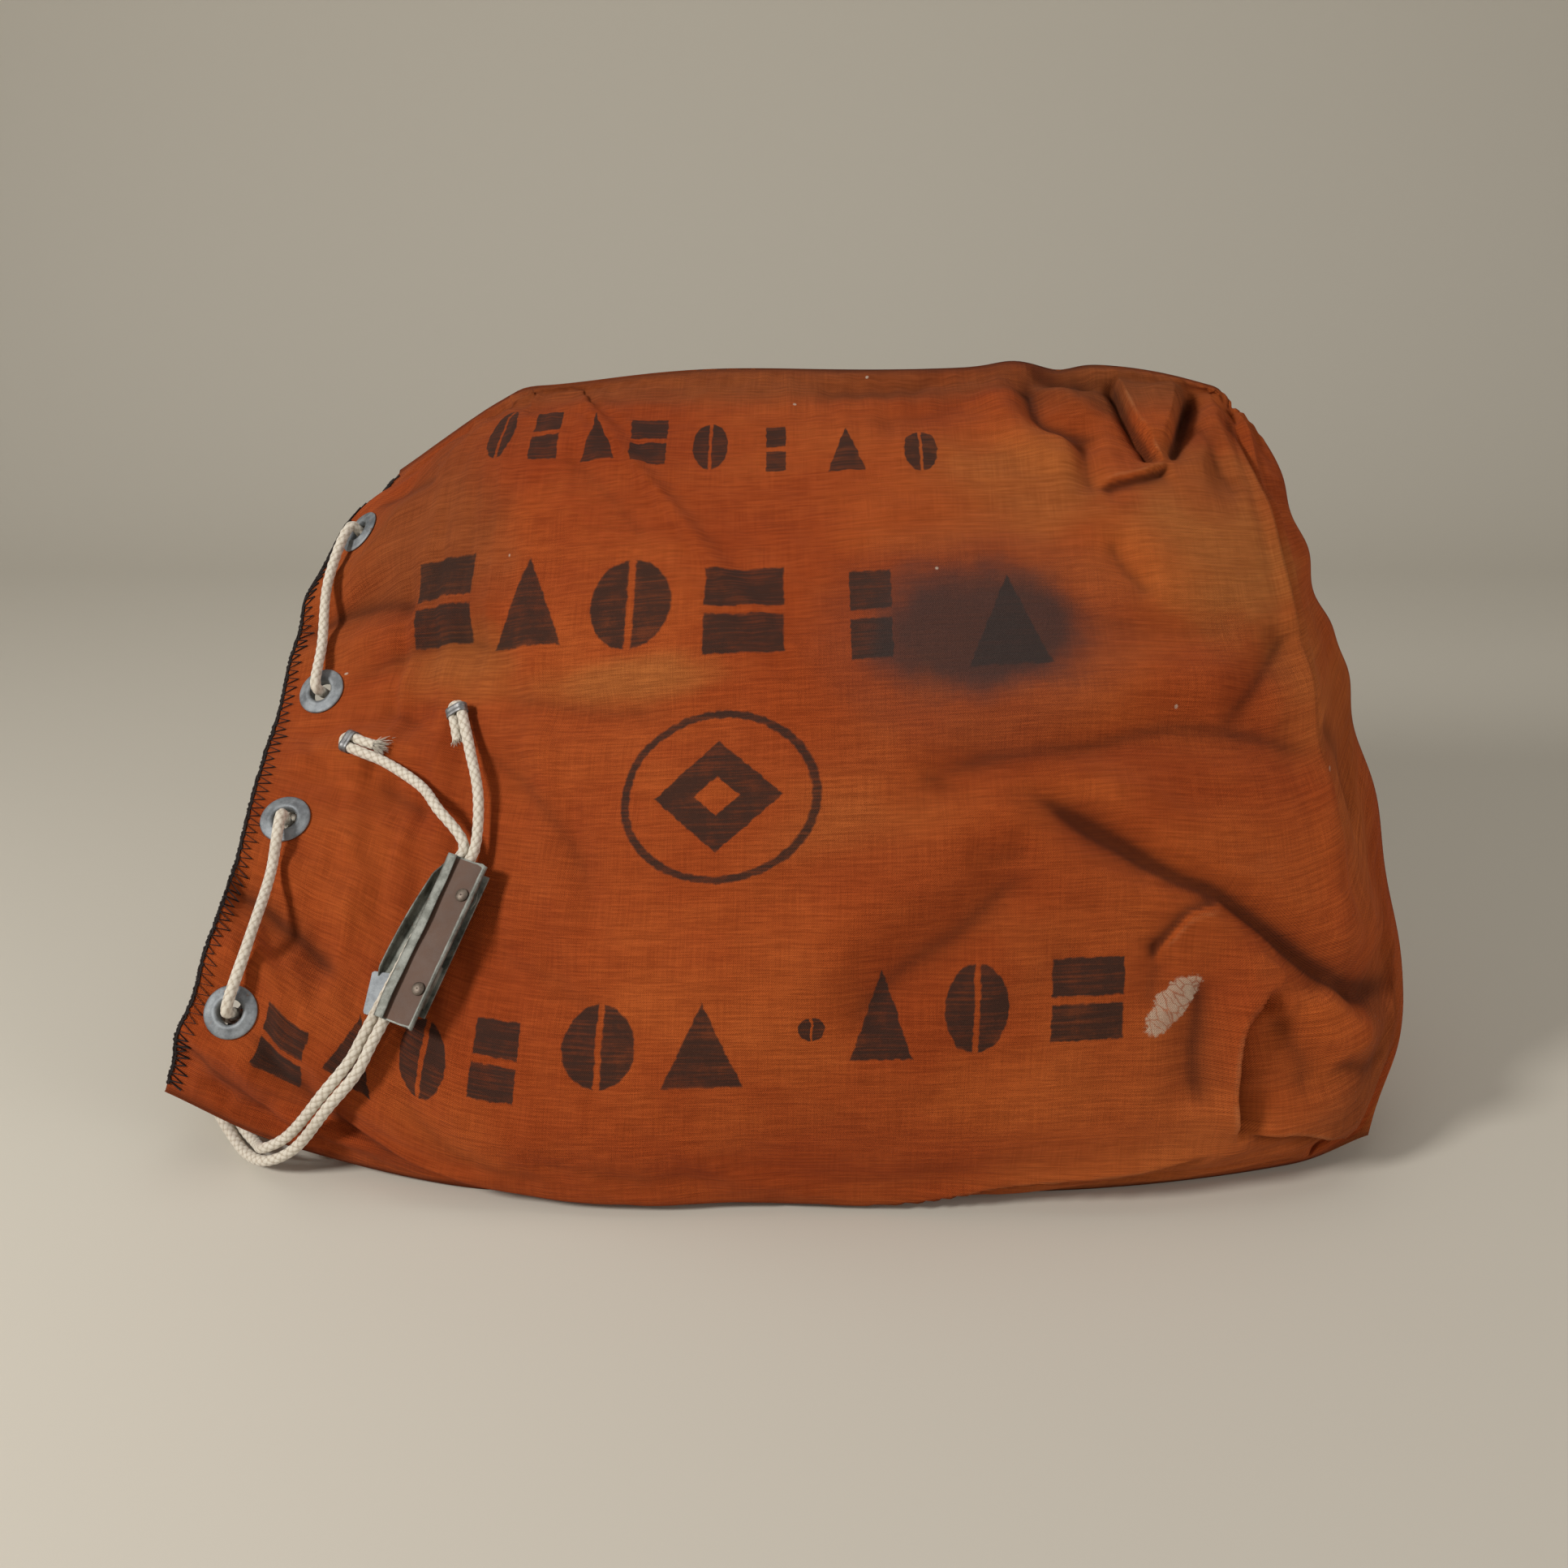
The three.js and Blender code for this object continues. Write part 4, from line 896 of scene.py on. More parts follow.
def cloth_object(name, panel, rows, cols, material, shift):
    """A panel as a mesh with eyelet holes, its flat coordinates and its thickness."""
    u, v = spread(rows, DENSE[panel.side][0]), spread(cols, DENSE[panel.side][1])
    uu, vv = np.meshgrid(u, v, indexing="ij")
    fu, fv = uu.ravel(), vv.ravel()
    p = cloth_point(panel, fu, fv)
    faces = grid_faces(rows, cols)
    if panel.side > 0:
        faces = [f[::-1] for f in faces]
    centres = p[np.array(faces)].mean(axis=1)
    keep = np.ones(len(faces), bool)
    for centre, _ in panel.spots:
        keep &= np.linalg.norm(centres - centre, axis=1) > 8.6
    faces = [f for f, k in zip(faces, keep) if k]
    obj = new_object(name, p, faces, material)
    layer = obj.data.uv_layers.new(name="cloth")
    loops = np.zeros(len(obj.data.loops), int)
    obj.data.loops.foreach_get("vertex_index", loops)
    uvs = np.column_stack([fu[loops] * 0.66 + shift[0], fv[loops] * 0.5 + shift[1]])
    layer.data.foreach_set("uv", uvs.ravel())
    # the fold value drives the painted fold shade and highlight; it is also lowered within a few mm of the
    # upper and lower seams, darkening the cloth there
    _, _, shade = panel.folds(fu, fv)
    shade = np.minimum(shade, 1) - 0.7 * np.exp(-(np.minimum(fv, 1 - fv) * FLAT_WIDTH / 5) ** 2)
    attribute(obj, "fold", np.clip(shade, -1, 1))
    bm = bmesh.new()
    bm.from_mesh(obj.data)
    bmesh.ops.delete(bm, geom=[x for x in bm.verts if not x.link_faces], context="VERTS")
    bm.to_mesh(obj.data)
    bm.free()
    thick = obj.modifiers.new("thickness", "SOLIDIFY")
    thick.thickness = CLOTH * MM
    thick.offset = -1
    thick.use_rim = True
    return bake(obj)


front_grid, back_grid = (((290, 222), (150, 120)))
sack_front = cloth_object("sack_front", front, *front_grid, CANVAS_FRONT, (0, 0))
sack_back = cloth_object("sack_back", back, *back_grid, CANVAS_BACK, (0, 0.5))
for obj, node in ((sack_front, "front_panel"), (sack_back, "back_panel")):
    hand_in(obj, "sack", node, "canvas")

# ---------------------------------------------------------------- eyelets
R0, R1, RF = EYELET_BORE / 2, EYELET_BORE / 2 + 0.8, EYELET_OUTER / 2
EYELET_PROFILE = [(R0, -CLOTH - 2.1), (R1, -CLOTH - 2.1), (R1, GAP), (RF - 0.5, GAP), (RF, GAP + 0.25),
                  (RF - 0.05, GAP + 0.7), (RF - 0.7, GAP + 1.1), (RF - 2.2, GAP + 1.45),
                  (RF - 4.2, GAP + 1.85), (R1 + 1.6, GAP + 2.2), (R1 + 0.5, GAP + 2.2),
                  (R0 + 0.35, GAP + 1.9), (R0, GAP + 1.2)]
for panel, label in ((front, "front"), (back, "back")):
    for i, (centre, normal) in enumerate(panel.spots):
        ring = lathe(f"eyelet_ring_{label}_{i + 1}", EYELET_PROFILE, frame_at(centre, normal), ZINC)
        hand_in(ring, "sack", f"eyelet_{label}_{i + 1}", "eyelet_metal")
        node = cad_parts[f"washer_{label}_{i + 1}"]
        node.data.materials.clear()
        node.data.materials.append(ZINC)

# ---------------------------------------------------------------- cord
def catmull(points, samples_per_mm):
    """Centripetal curve through the points, evenly stepped."""
    p = [np.asarray(q, float) for q in points]
    p = [2 * p[0] - p[1]] + p + [2 * p[-1] - p[-2]]
    out = []
    for k in range(1, len(p) - 2):
        t = [0.0]
        for a, b in ((k - 1, k), (k, k + 1), (k + 1, k + 2)):
            t.append(t[-1] + max(np.linalg.norm(p[b] - p[a]), 1e-6) ** 0.5)
        n = max(6, int(np.linalg.norm(p[k + 1] - p[k]) * 1.5))
        for s in np.linspace(t[1], t[2], n, endpoint=False):
            a1 = (t[1] - s) / (t[1] - t[0]) * p[k - 1] + (s - t[0]) / (t[1] - t[0]) * p[k]
            a2 = (t[2] - s) / (t[2] - t[1]) * p[k] + (s - t[1]) / (t[2] - t[1]) * p[k + 1]
            a3 = (t[3] - s) / (t[3] - t[2]) * p[k + 1] + (s - t[2]) / (t[3] - t[2]) * p[k + 2]
            b1 = (t[2] - s) / (t[2] - t[0]) * a1 + (s - t[0]) / (t[2] - t[0]) * a2
            b2 = (t[3] - s) / (t[3] - t[1]) * a2 + (s - t[1]) / (t[3] - t[1]) * a3
            out.append((t[2] - s) / (t[2] - t[1]) * b1 + (s - t[1]) / (t[2] - t[1]) * b2)
    out.append(p[-2])
    out = np.array(out)
    run = np.concatenate([[0], np.cumsum(np.linalg.norm(np.diff(out, axis=0), axis=1))])
    count = max(8, int(run[-1] * samples_per_mm))
    even = np.linspace(0, run[-1], count)
    return np.column_stack([np.interp(even, run, out[:, k]) for k in range(3)]), run[-1]


def braid(name, points, diameter=CORD, around=26, per_mm=2.0, round_ends=True):
    """A braided cord: a tube whose surface rises and falls with crossing strands."""
    line, length = catmull(points, per_mm)
    n = len(line)
    tangent = np.gradient(line, axis=0)
    tangent /= np.linalg.norm(tangent, axis=1)[:, None]
    up = np.array([0.31, 0.52, 0.79])
    side = unit(np.cross(tangent[0], up))
    sides = []
    for k in range(n):
        side = unit(side - tangent[k] * (side @ tangent[k]))
        sides.append(side)
    sides = np.array(sides)
    other = np.cross(tangent, sides)
    s = np.linspace(0, length, n)
    theta = np.linspace(0, 2 * np.pi, around, endpoint=False)
    S, T = np.meshgrid(s, theta, indexing="ij")
    a = T * 4 / (2 * np.pi) + S / 5.2
    b = T * 4 / (2 * np.pi) - S / 5.2
    over = np.floor(a) + np.floor(b)
    even = np.abs(over % 2) < 0.5
    ha = np.abs(np.sin(np.pi * a)) ** 0.6 * (0.55 + 0.45 * np.abs(np.sin(np.pi * b)))
    hb = np.abs(np.sin(np.pi * b)) ** 0.6 * (0.55 + 0.45 * np.abs(np.sin(np.pi * a)))
    h = np.where(even, ha, hb)
    thin = 1 + 0.03 * np.sin(S / 17.0) + 0.02 * np.sin(S / 6.3 + 1)
    radius = (diameter / 2 - 0.35 + 0.42 * h) * thin
    if round_ends:
        cap = np.sqrt(np.clip(1 - (1 - np.clip(np.minimum(S, length - S) / 1.6, 0, 1)) ** 2, 0.02, 1))
        radius = radius * cap
    pts = line[:, None, :] + radius[:, :, None] * (np.cos(T)[:, :, None] * sides[:, None, :]
                                                   + np.sin(T)[:, :, None] * other[:, None, :])
    faces = grid_faces(n, around, closed_cols=True)
    verts = pts.reshape(-1, 3)
    verts = np.vstack([verts, line[0], line[-1]])
    first, last = len(verts) - 2, len(verts) - 1
    for j in range(around):
        k = (j + 1) % around
        faces.append((first, k, j))
        faces.append((last, (n - 1) * around + j, (n - 1) * around + k))
    obj = new_object(name, verts, faces, COTTON)
    attribute(obj, "relief", np.concatenate([h.ravel(), [0.5, 0.5]]))
    return fixed_normals(obj), line, length


OUT, IN = CORD / 2 + 3.4, -CLOTH - CORD / 2 - 3


def through_eyelet(panel, i, first):
    """Three points through an eyelet; first is 1 from outside to inside, -1 the other way."""
    centre, normal = panel.spots[i]
    return [centre + normal * (first * k * 7 - CLOTH / 2) for k in (1, 0, -1)]


def run_over(panel, v, depth, shift=0.0):
    """A point over the eyelet row; depth is along the outward normal."""
    return panel.over(EYELET_U * (1 + shift), v, depth)


LACE = [front.over(EYELET_U * .8, .118, IN * 2), *through_eyelet(front, 0, -1),
        run_over(front, .2, OUT, .1), run_over(front, .29, OUT, .1), *through_eyelet(front, 1, 1),
        run_over(front, .45, IN), run_over(front, .55, IN), *through_eyelet(front, 2, -1),
        run_over(front, .7, OUT, -.1), run_over(front, .8, OUT, -.1), *through_eyelet(front, 3, 1),
        front.over(EYELET_U, .95, IN - 2), back.over(EYELET_U, .95, IN - 2), *through_eyelet(back, 3, -1),
        run_over(back, .8, OUT), run_over(back, .7, OUT), *through_eyelet(back, 2, 1),
        run_over(back, .55, IN), run_over(back, .45, IN), *through_eyelet(back, 1, -1),
        run_over(back, .29, OUT), run_over(back, .2, OUT), *through_eyelet(back, 0, 1),
        back.over(EYELET_U * .8, .118, IN * 1.6)]
lace, _, _ = braid("cord_lace_braid", LACE, around=20, per_mm=1.5)
hand_in(lace, "sack", "cord_lace", "cord")

# ---------------------------------------------------------------- fastener frame
SEAT_U, SEAT_V, STAND_OFF = .205, .306, 7.5
point1 = lambda u, v: front.point(u, v)[0]
low_end, high_end = point1(.183, .218), point1(.226, .394)
y_axis = unit(high_end - low_end)
z_axis = front.normals(np.array([SEAT_U]), np.array([SEAT_V]))[0]
z_axis = unit(z_axis - y_axis * (z_axis @ y_axis))
PLACE = axes(np.cross(y_axis, z_axis), y_axis, z_axis, point1(SEAT_U, SEAT_V) + z_axis * STAND_OFF)
local = lambda x, y, z: in_place((x, y, z), PLACE)
BASE0 = 0.0
BASE1 = BASE0 + SHEET
FLOOR0 = BASE1 + GAP
FLOOR1 = FLOOR0 + 0.8
CORD_Z = FLOOR1 + GAP + CORD / 2
TOP0 = CORD_Z + CORD / 2 + GAP
TOP1 = TOP0 + SHEET
HALF, W = FASTENER_LENGTH / 2, FASTENER_WIDTH / 2
PIN_X, PIN_HIGH, PIN_LOW, PIN_R = 5.0, HALF * .59, -HALF * .55, 1.9
CORD_HIGH, CORD_LOW, PAIR = -5.4, -10.4, CORD / 2 + 0.3


def through(s, y):
    """A point on one of the pair of cords in the fastener, at y along it."""
    return local(CORD_LOW + (CORD_HIGH - CORD_LOW) * (y + HALF) / FASTENER_LENGTH + s * PAIR, y, CORD_Z)


# ---------------------------------------------------------------- free tails
at = lambda x, y, z: np.array([x - MIDDLE_X, y - MIDDLE_Y, z], float)
on = front.over


def carry_on(end, before):
    """The tail starts just past the end of the lace, in the same direction."""
    d = unit(end - before)
    return [end + d * (GAP + 0.1), end + d * 7]


def tail(start, side, middle, end_at, end_from):
    """A tail's points, its end, the direction there and the cloth normal square to it."""
    end = on(*end_at)
    d = unit(end - on(*end_from))
    leave = [through(side, y) for y in (-HALF - 12, -HALF + 4, -6, HALF - 6, HALF + 6)]
    points = [*start, *leave, *[on(*m) for m in middle], end - d * 26, end - d * 13, end]
    normal = front.normals(np.array([end_at[0]]), np.array([end_at[1]]))[0]
    return points, end, d, unit(normal - d * (normal @ d))


right = tail([*carry_on(LACE[0], LACE[1]), front.over(EYELET_U * .25, .11, -13), at(-303, -67, 70),
              at(-308, -56, 58), at(-309, -46, 41), at(-307, -46, 24), at(-301, -58, 10), at(-288, -75, 4),
              at(-275, -91, 3.4), at(-260, -105, 9), at(-243, -112, 21),
              on(.135, .1, 6.5), on(.151, .146, 7)],
             1, [(.227, .473, 9)], (.19, .578, 5.6), (.203, .54, 5.6))
left = tail([*carry_on(LACE[-1], LACE[-2]), back.over(EYELET_U * .2, .11, -9), at(-297, -60, 68),
             at(-301, -48, 56), at(-300, -36, 40), at(-299, -37, 22), at(-294, -52, 9), at(-283.5, -71, 6.5),
             at(-271, -87, 7), at(-261, -103.5, 15.7), at(-247, -109, 26),
             on(.128, .108, 6.5), on(.143, .153, 7)],
            -1, [(.19, .45, 14), (.162, .471, 8.5)], (.071, .514, 5.8), (.105, .498, 5.8))


def stadium_band(name, place, beside, y0, y1, inner, outer, segments=14):
    """A flat-sided metal band round two cords, from y0 to y1."""
    a, b = min(0, beside), max(0, beside)
    turn = np.linspace(-np.pi / 2, np.pi / 2, segments)
    def outline(r):
        right_side = [(b + r * math.cos(t), r * math.sin(t)) for t in turn]
        left_side = [(a - r * math.cos(t), -r * math.sin(t)) for t in turn]
        return right_side + left_side
    middle = (y0 + y1) / 2
    profile = [(inner, y0), (outer - .15, y0), (outer, y0 + .2), (outer, middle - .5),
               (outer - .25, middle - .2), (outer - .25, middle + .2), (outer, middle + .5),
               (outer, y1 - .2), (outer - .15, y1), (inner, y1)]
    pts = [(x, y, z) for r, y in profile for x, z in outline(r)]
    faces = ring_faces(len(profile), 2 * segments)
    pts = in_place(pts, place)
    return fixed_normals(new_object(name, pts, faces, CLIP))


for label, (points, end, d, normal), turn in (("right", right, -1), ("left", left, 1)):
    rope, line, length = braid(f"cord_{label}_braid", points, per_mm=2.2)
    place = axes(np.cross(d, normal), d, normal, end)
    beside = turn * (CORD + GAP)
    to = lambda x, y, z: in_place((x, y, z), place)
    # the doubled-back end, joined to the tail over a tight bend
    bend = [to(0, 0.2, 0), to(beside * .12, 2.0, 0.2), to(beside * .5, 3.0, 0.3), to(beside * .88, 2.0, 0.2),
            to(beside, 0, 0), to(beside, -8, 0), to(beside + turn * .6, -16.5, 0)]
    stub, _, _ = braid(f"cord_bend_{label}", bend, diameter=CORD * .97, per_mm=2.2, round_ends=False)
    band = stadium_band(f"clip_band_{label}", place, beside, -2.5, 4.5 - 2.2, CORD / 2 + .05, CORD / 2 + .75)
    # loose fibres at the cut end
    base = to(beside + turn * .6, -16.0, 0)
    strands, faces = [], []
    unravelled = label == "left"
    for _ in range(150 if unravelled else 24):
        a, r = rng.uniform(0, 6.28), rng.uniform(0.2, 2.2)
        x, z = r * math.cos(a), r * math.sin(a)
        long = rng.uniform(4, 10) if unravelled else rng.uniform(1, 3)
        wide = rng.uniform(.8, 3.2) if unravelled else .9
        lean = turn * rng.uniform(-.3, .8) if unravelled else 0
        path = []
        for q in (0, .35, .7, 1):
            out = [x * (1 + q * wide) + lean * q * long * .5, -long * q, z * (1 + q * wide * .8)]
            path.append(base + place[:3, :3] @ np.array(out))
        tangent = path[-1] - path[0]
        s1 = unit(np.cross(tangent, [0.3, 0.5, 0.8]))
        s2 = unit(np.cross(tangent, s1))
        start = len(strands)
        for q, c in enumerate(path):
            w = 0.26 * (1 - q * .2)
            for t in (0, 2.094, 4.189):
                strands.append(c + w * (s1 * math.cos(t) + s2 * math.sin(t)))
        faces.extend(tuple(start + k for k in face) for face in grid_faces(4, 3, closed_cols=True))
        faces.append((start + 2, start + 1, start))
        faces.append((start + 9, start + 10, start + 11))
    tuft = new_object(f"cord_fray_{label}", strands, faces, COTTON)
    attribute(tuft, "relief", np.full(len(strands), 0.8))
    fixed_normals(tuft)
    for piece, node, slot in ((rope, f"cord_tail_{label}", "cord"), (stub, f"cord_end_{label}", "cord"),
                              (band, f"end_clip_{label}", "clip_metal"), (tuft, None, "cord")):
        hand_in(piece, "sack", node, slot)
    [tuple(q * MM) for q in [*line[::6], line[-1]]]

# ---------------------------------------------------------------- fastener pieces
def tube_faces(rows, around):
    """Rows of closed sections, capped at both ends."""
    ends = [tuple(range(around))[::-1], tuple((rows - 1) * around + k for k in range(around))]
    return grid_faces(rows, around, closed_cols=True) + ends


def swept(name, profile, y0, y1, steps, material, warp):
    """A sheet-metal section (x, z) drawn along y in the fastener frame; warp moves (x, y, z)."""
    pts = [local(*warp(x, y, z)) for y in np.linspace(y0, y1, steps) for x, z in profile]
    return fixed_normals(new_object(name, pts, tube_faces(steps, len(profile)), material))


def sharpen(obj, width, angle=0.6):
    """Rounds the hard edges a little."""
    bevel = obj.modifiers.new("edge", "BEVEL")
    bevel.width = width * MM
    bevel.segments = 2
    bevel.limit_method = "ANGLE"
    bevel.angle_limit = angle
    return bake(obj)


def sheet_outline(centre, thickness):
    """A constant-thickness closed section along a centre polyline (x, z)."""
    c = np.array(centre, float)
    t = np.gradient(c, axis=0)
    t /= np.linalg.norm(t, axis=1)[:, None]
    n = np.column_stack([-t[:, 1], t[:, 0]]) * thickness / 2
    return [tuple(p) for p in c + n] + [tuple(p) for p in (c - n)[::-1]]


def arc(cx, cz, r, a0, a1, count=6):
    return [(cx + r * math.cos(math.radians(a)), cz + r * math.sin(math.radians(a)))
            for a in np.linspace(a0, a1, count)]


ZM = (TOP0 + TOP1) / 2
# label plate: flat floor, left lip folded right over, right edge curled up
section = [(-W + 5.4, ZM + 2.35), (-W + 3.6, ZM + 2.45), (-W + 2.0, ZM + 2.4)]
section += arc(-W + 1.35, ZM + 1.2, 1.2, 100, 262, 9)
section += [(-W + 3.2, ZM), (-W + 6, ZM), (-W + 9, ZM), (-W + 12, ZM), (-W + 15, ZM)]
section += [(W - 3, ZM), (W - 1.4, ZM + .1)]
section += arc(W - 1.0, ZM + 1.25, 1.2, -75, 60, 6)


def plate_warp(x, y, z):
    lip = 1.0 if (z > ZM + 1.2 and x < 0) else 0.0
    wave = .22 * math.sin(y / 9.0 + .6) + .12 * math.sin(y / 4.1)
    return (x + lip * wave + .12 * math.sin(y / 13), y + (.5 if x > 4 else 0) * math.sin(x),
            z + lip * .25 * math.sin(y / 6.5) + .10 * math.sin(y / 17 + x / 7))


section = sheet_outline(section, SHEET * .82)
plate = swept("label_plate_skin", section, -HALF + .4, HALF - .4, 70, PLATE, plate_warp)
plate = sharpen(plate, .16)
loc = in_place([tuple(v.co / MM) for v in plate.data.vertices], np.linalg.inv(PLACE))
edge = np.maximum(smooth(HALF - 2.2, HALF - .6, np.abs(loc[:, 1])), smooth(ZM + .9, ZM + 1.6, loc[:, 2]))
edge = np.maximum(edge, smooth(W - 3.4, W - 2.2, loc[:, 0]))
attribute(plate, "wear", edge)


def flat_piece(name, outline, z0, z1, material, holes=(), bend=None):
    """A flat sheet-metal piece in the fastener frame, with round holes, bevelled edges."""
    curve = bpy.data.curves.new(name, "CURVE")
    curve.dimensions = "2D"
    curve.fill_mode = "BOTH"
    def loop(points):
        s = curve.splines.new("POLY")
        s.points.add(len(points) - 1)
        for k, (x, y) in enumerate(points):
            s.points[k].co = (x, y, 0, 1)
        s.use_cyclic_u = True
    loop(outline)
    turn = np.linspace(0, 2 * np.pi, 28, endpoint=False)
    for x, y, r in holes:
        loop([(x + r * math.cos(a), y + r * math.sin(a)) for a in turn])
    curve.extrude = (z1 - z0) / 2
    source = placed(name + "_outline", curve)
    bpy.context.view_layer.update()
    deps = bpy.context.evaluated_depsgraph_get()
    mesh = bpy.data.meshes.new_from_object(source.evaluated_get(deps))
    pts = np.array([tuple(v.co) for v in mesh.vertices])
    bpy.data.objects.remove(source)
    pts[:, 2] += (z0 + z1) / 2
    if bend:
        pts = np.array([bend(*p) for p in pts])
    mesh.vertices.foreach_set("co", (in_place(pts, PLACE) * MM).ravel())
    mesh.update()
    mesh.materials.clear()
    mesh.materials.append(material)
    return sharpen(fixed_normals(placed(name, mesh)), .14, .7)


HIGH_HOLE, LOW_HOLE = (PIN_X, PIN_HIGH, PIN_R + .1), (PIN_X, PIN_LOW, PIN_R + .1)
back_strip = flat_piece("back_strip", [(-2, -HALF + 8), (W - 1, -HALF + 8), (W - 1, HALF - 4),
                                       (-2, HALF - 4)], BASE0, BASE1, STEEL, [HIGH_HOLE, LOW_HOLE])
jaw = flat_piece("jaw_block", [(PIN_X - 3.6, PIN_LOW - 8), (PIN_X + 3.4, PIN_LOW - 8),
                               (PIN_X + 3.4, PIN_LOW + 14), (PIN_X - 3.6, PIN_LOW + 18)],
                 BASE1 + GAP, TOP0 - GAP, STEEL, [LOW_HOLE])
OUTER_HIGH, OUTER_LOW = CORD_HIGH - CORD - 5, CORD_LOW - CORD - 6
LEVER_TOP, LEVER_LOW = HALF - 5, -HALF * .6
HEAD_R = PIN_R + 1.5
at_pin = lambda y: PLACE @ np.array(Matrix.Translation((PIN_X, y, 0)))
spacer = lathe("spacer_bush", [(PIN_R + .1, FLOOR1 + GAP), (HEAD_R, FLOOR1 + GAP), (HEAD_R, TOP0 - GAP),
                               (PIN_R + .1, TOP0 - GAP)], at_pin(PIN_HIGH), RIVET, 32)


def rivet_head(label, y):
    """A rivet with its low dome over the plate and its head behind the strip."""
    r = HEAD_R
    quarter = np.linspace(0, np.pi / 2, 8)[:-1]
    dome = [(r * math.cos(a), TOP1 + GAP + .1 + 1.35 * math.sin(a)) for a in quarter]
    profile = [(.01, BASE0 - GAP - 1), (r - .2, BASE0 - GAP - .9), (r, BASE0 - GAP - .6), (r, BASE0 - GAP),
               (PIN_R, BASE0 - GAP), (PIN_R, TOP1 + .1), (r, TOP1 + .1), *dome, (.01, TOP1 + GAP + 1.45)]
    return lathe(f"rivet_{label}_head", profile, at_pin(y), RIVET, 40)


rivet_upper, rivet_lower = rivet_head("upper", PIN_HIGH), rivet_head("lower", PIN_LOW)


# jaw lever: trough floor and outer wall as one bent sheet, with the finger tab and the pivot ring as separate
# flat pieces
def lever_section(t):
    """Outer x of the trough at t from 0 (low end) to 1 (top), with a slight belly."""
    return OUTER_LOW + (OUTER_HIGH - OUTER_LOW) * t - 1.1 * math.sin(math.pi * t) * (1 - .4 * t)


rows = 44
pts, thick = [], .8
for k in range(rows):
    t = k / (rows - 1)
    y = LEVER_LOW + (LEVER_TOP - LEVER_LOW) * t
    x0 = lever_section(t)
    wall = 5.4 * (0.75 + .25 * math.sin(math.pi * t)) * smooth(-.02, .10, np.array(t))
    wall = wall * smooth(-.02, .12, np.array(1 - t)) + .2
    base = FLOOR0 + .4
    right_end = -1.2 if y < PIN_HIGH - 9 else min(PIN_X - 2.5, -1.2 + (y - PIN_HIGH + 9) * .8)
    centre = [(x0 - .1, base + wall), (x0 - .2, base + wall * .6), (x0, base + wall * .25),
              (x0 + .5, FLOOR0 + .5), (x0 + 1.6, base), (x0 + 4, base), (x0 + 8, base), (right_end, base)]
    pts.append([local(px, y, pz) for px, pz in sheet_outline(centre, thick)])
faces = tube_faces(rows, len(pts[0]))
trough = fixed_normals(new_object("lever_trough", np.array(pts).reshape(-1, 3), faces, STEEL))
TAB = [(-4.2, 2.0), (-3.4, 3.0), (9.4, 5.6), (10, 4.4), (5.0, -17), (3.8, -18), (1.8, -18), (.8, -16.8)]
tab = flat_piece("lever_tab", [(OUTER_LOW + x, LEVER_LOW + y) for x, y in TAB],
                 FLOOR0 + .9, FLOOR0 + 1.8, ZINC,
                 bend=lambda x, y, z: (x, y, z + .5 * smooth(-30, -46, np.array(y))))
ear = flat_piece("lever_ring", [(-1.5, PIN_HIGH - 7), (PIN_X - 2, PIN_HIGH - 5.4),
                                (PIN_X + 3.5, PIN_HIGH - 4.4), (PIN_X + 4.6, PIN_HIGH),
                                (PIN_X + 3.5, PIN_HIGH + 4.4), (PIN_X - 2, PIN_HIGH + 5.4),
                                (-1.5, PIN_HIGH + 8)], FLOOR0, FLOOR1, STEEL, [HIGH_HOLE])
for piece, body, node, slot in (
        (plate, "fastener", "label_plate", "painted_plate"),
        (back_strip, "fastener", "fastener_back", "aged_steel"),
        (jaw, "fastener", "fixed_jaw", "aged_steel"),
        (spacer, "fastener", "pivot_spacer", "rivet_metal"),
        (rivet_upper, "fastener", "rivet_upper", "rivet_metal"),
        (rivet_lower, "fastener", "rivet_lower", "rivet_metal"),
        (trough, "lever", "jaw_lever", "aged_steel"),
        (tab, "lever", None, "eyelet_metal"),
        (ear, "lever", None, "aged_steel")):
    hand_in(piece, body, node, slot)


# ---------------------------------------------------------------- overcast mouth edges
def edge_rows(panel, count):
    """Points, outward normals, inward directions and run along the raw edge of the mouth."""
    v = np.linspace(0.012, 0.988, count)
    zero = np.zeros_like(v)
    p = cloth_point(panel, zero, v)
    q = cloth_point(panel, zero + .012, v)
    n = panel.normals(zero + .002, v)
    inward = q - p
    inward /= np.linalg.norm(inward, axis=1)[:, None]
    run = np.concatenate([[0], np.cumsum(np.linalg.norm(np.diff(p, axis=0), axis=1))])
    return p, n, inward, run


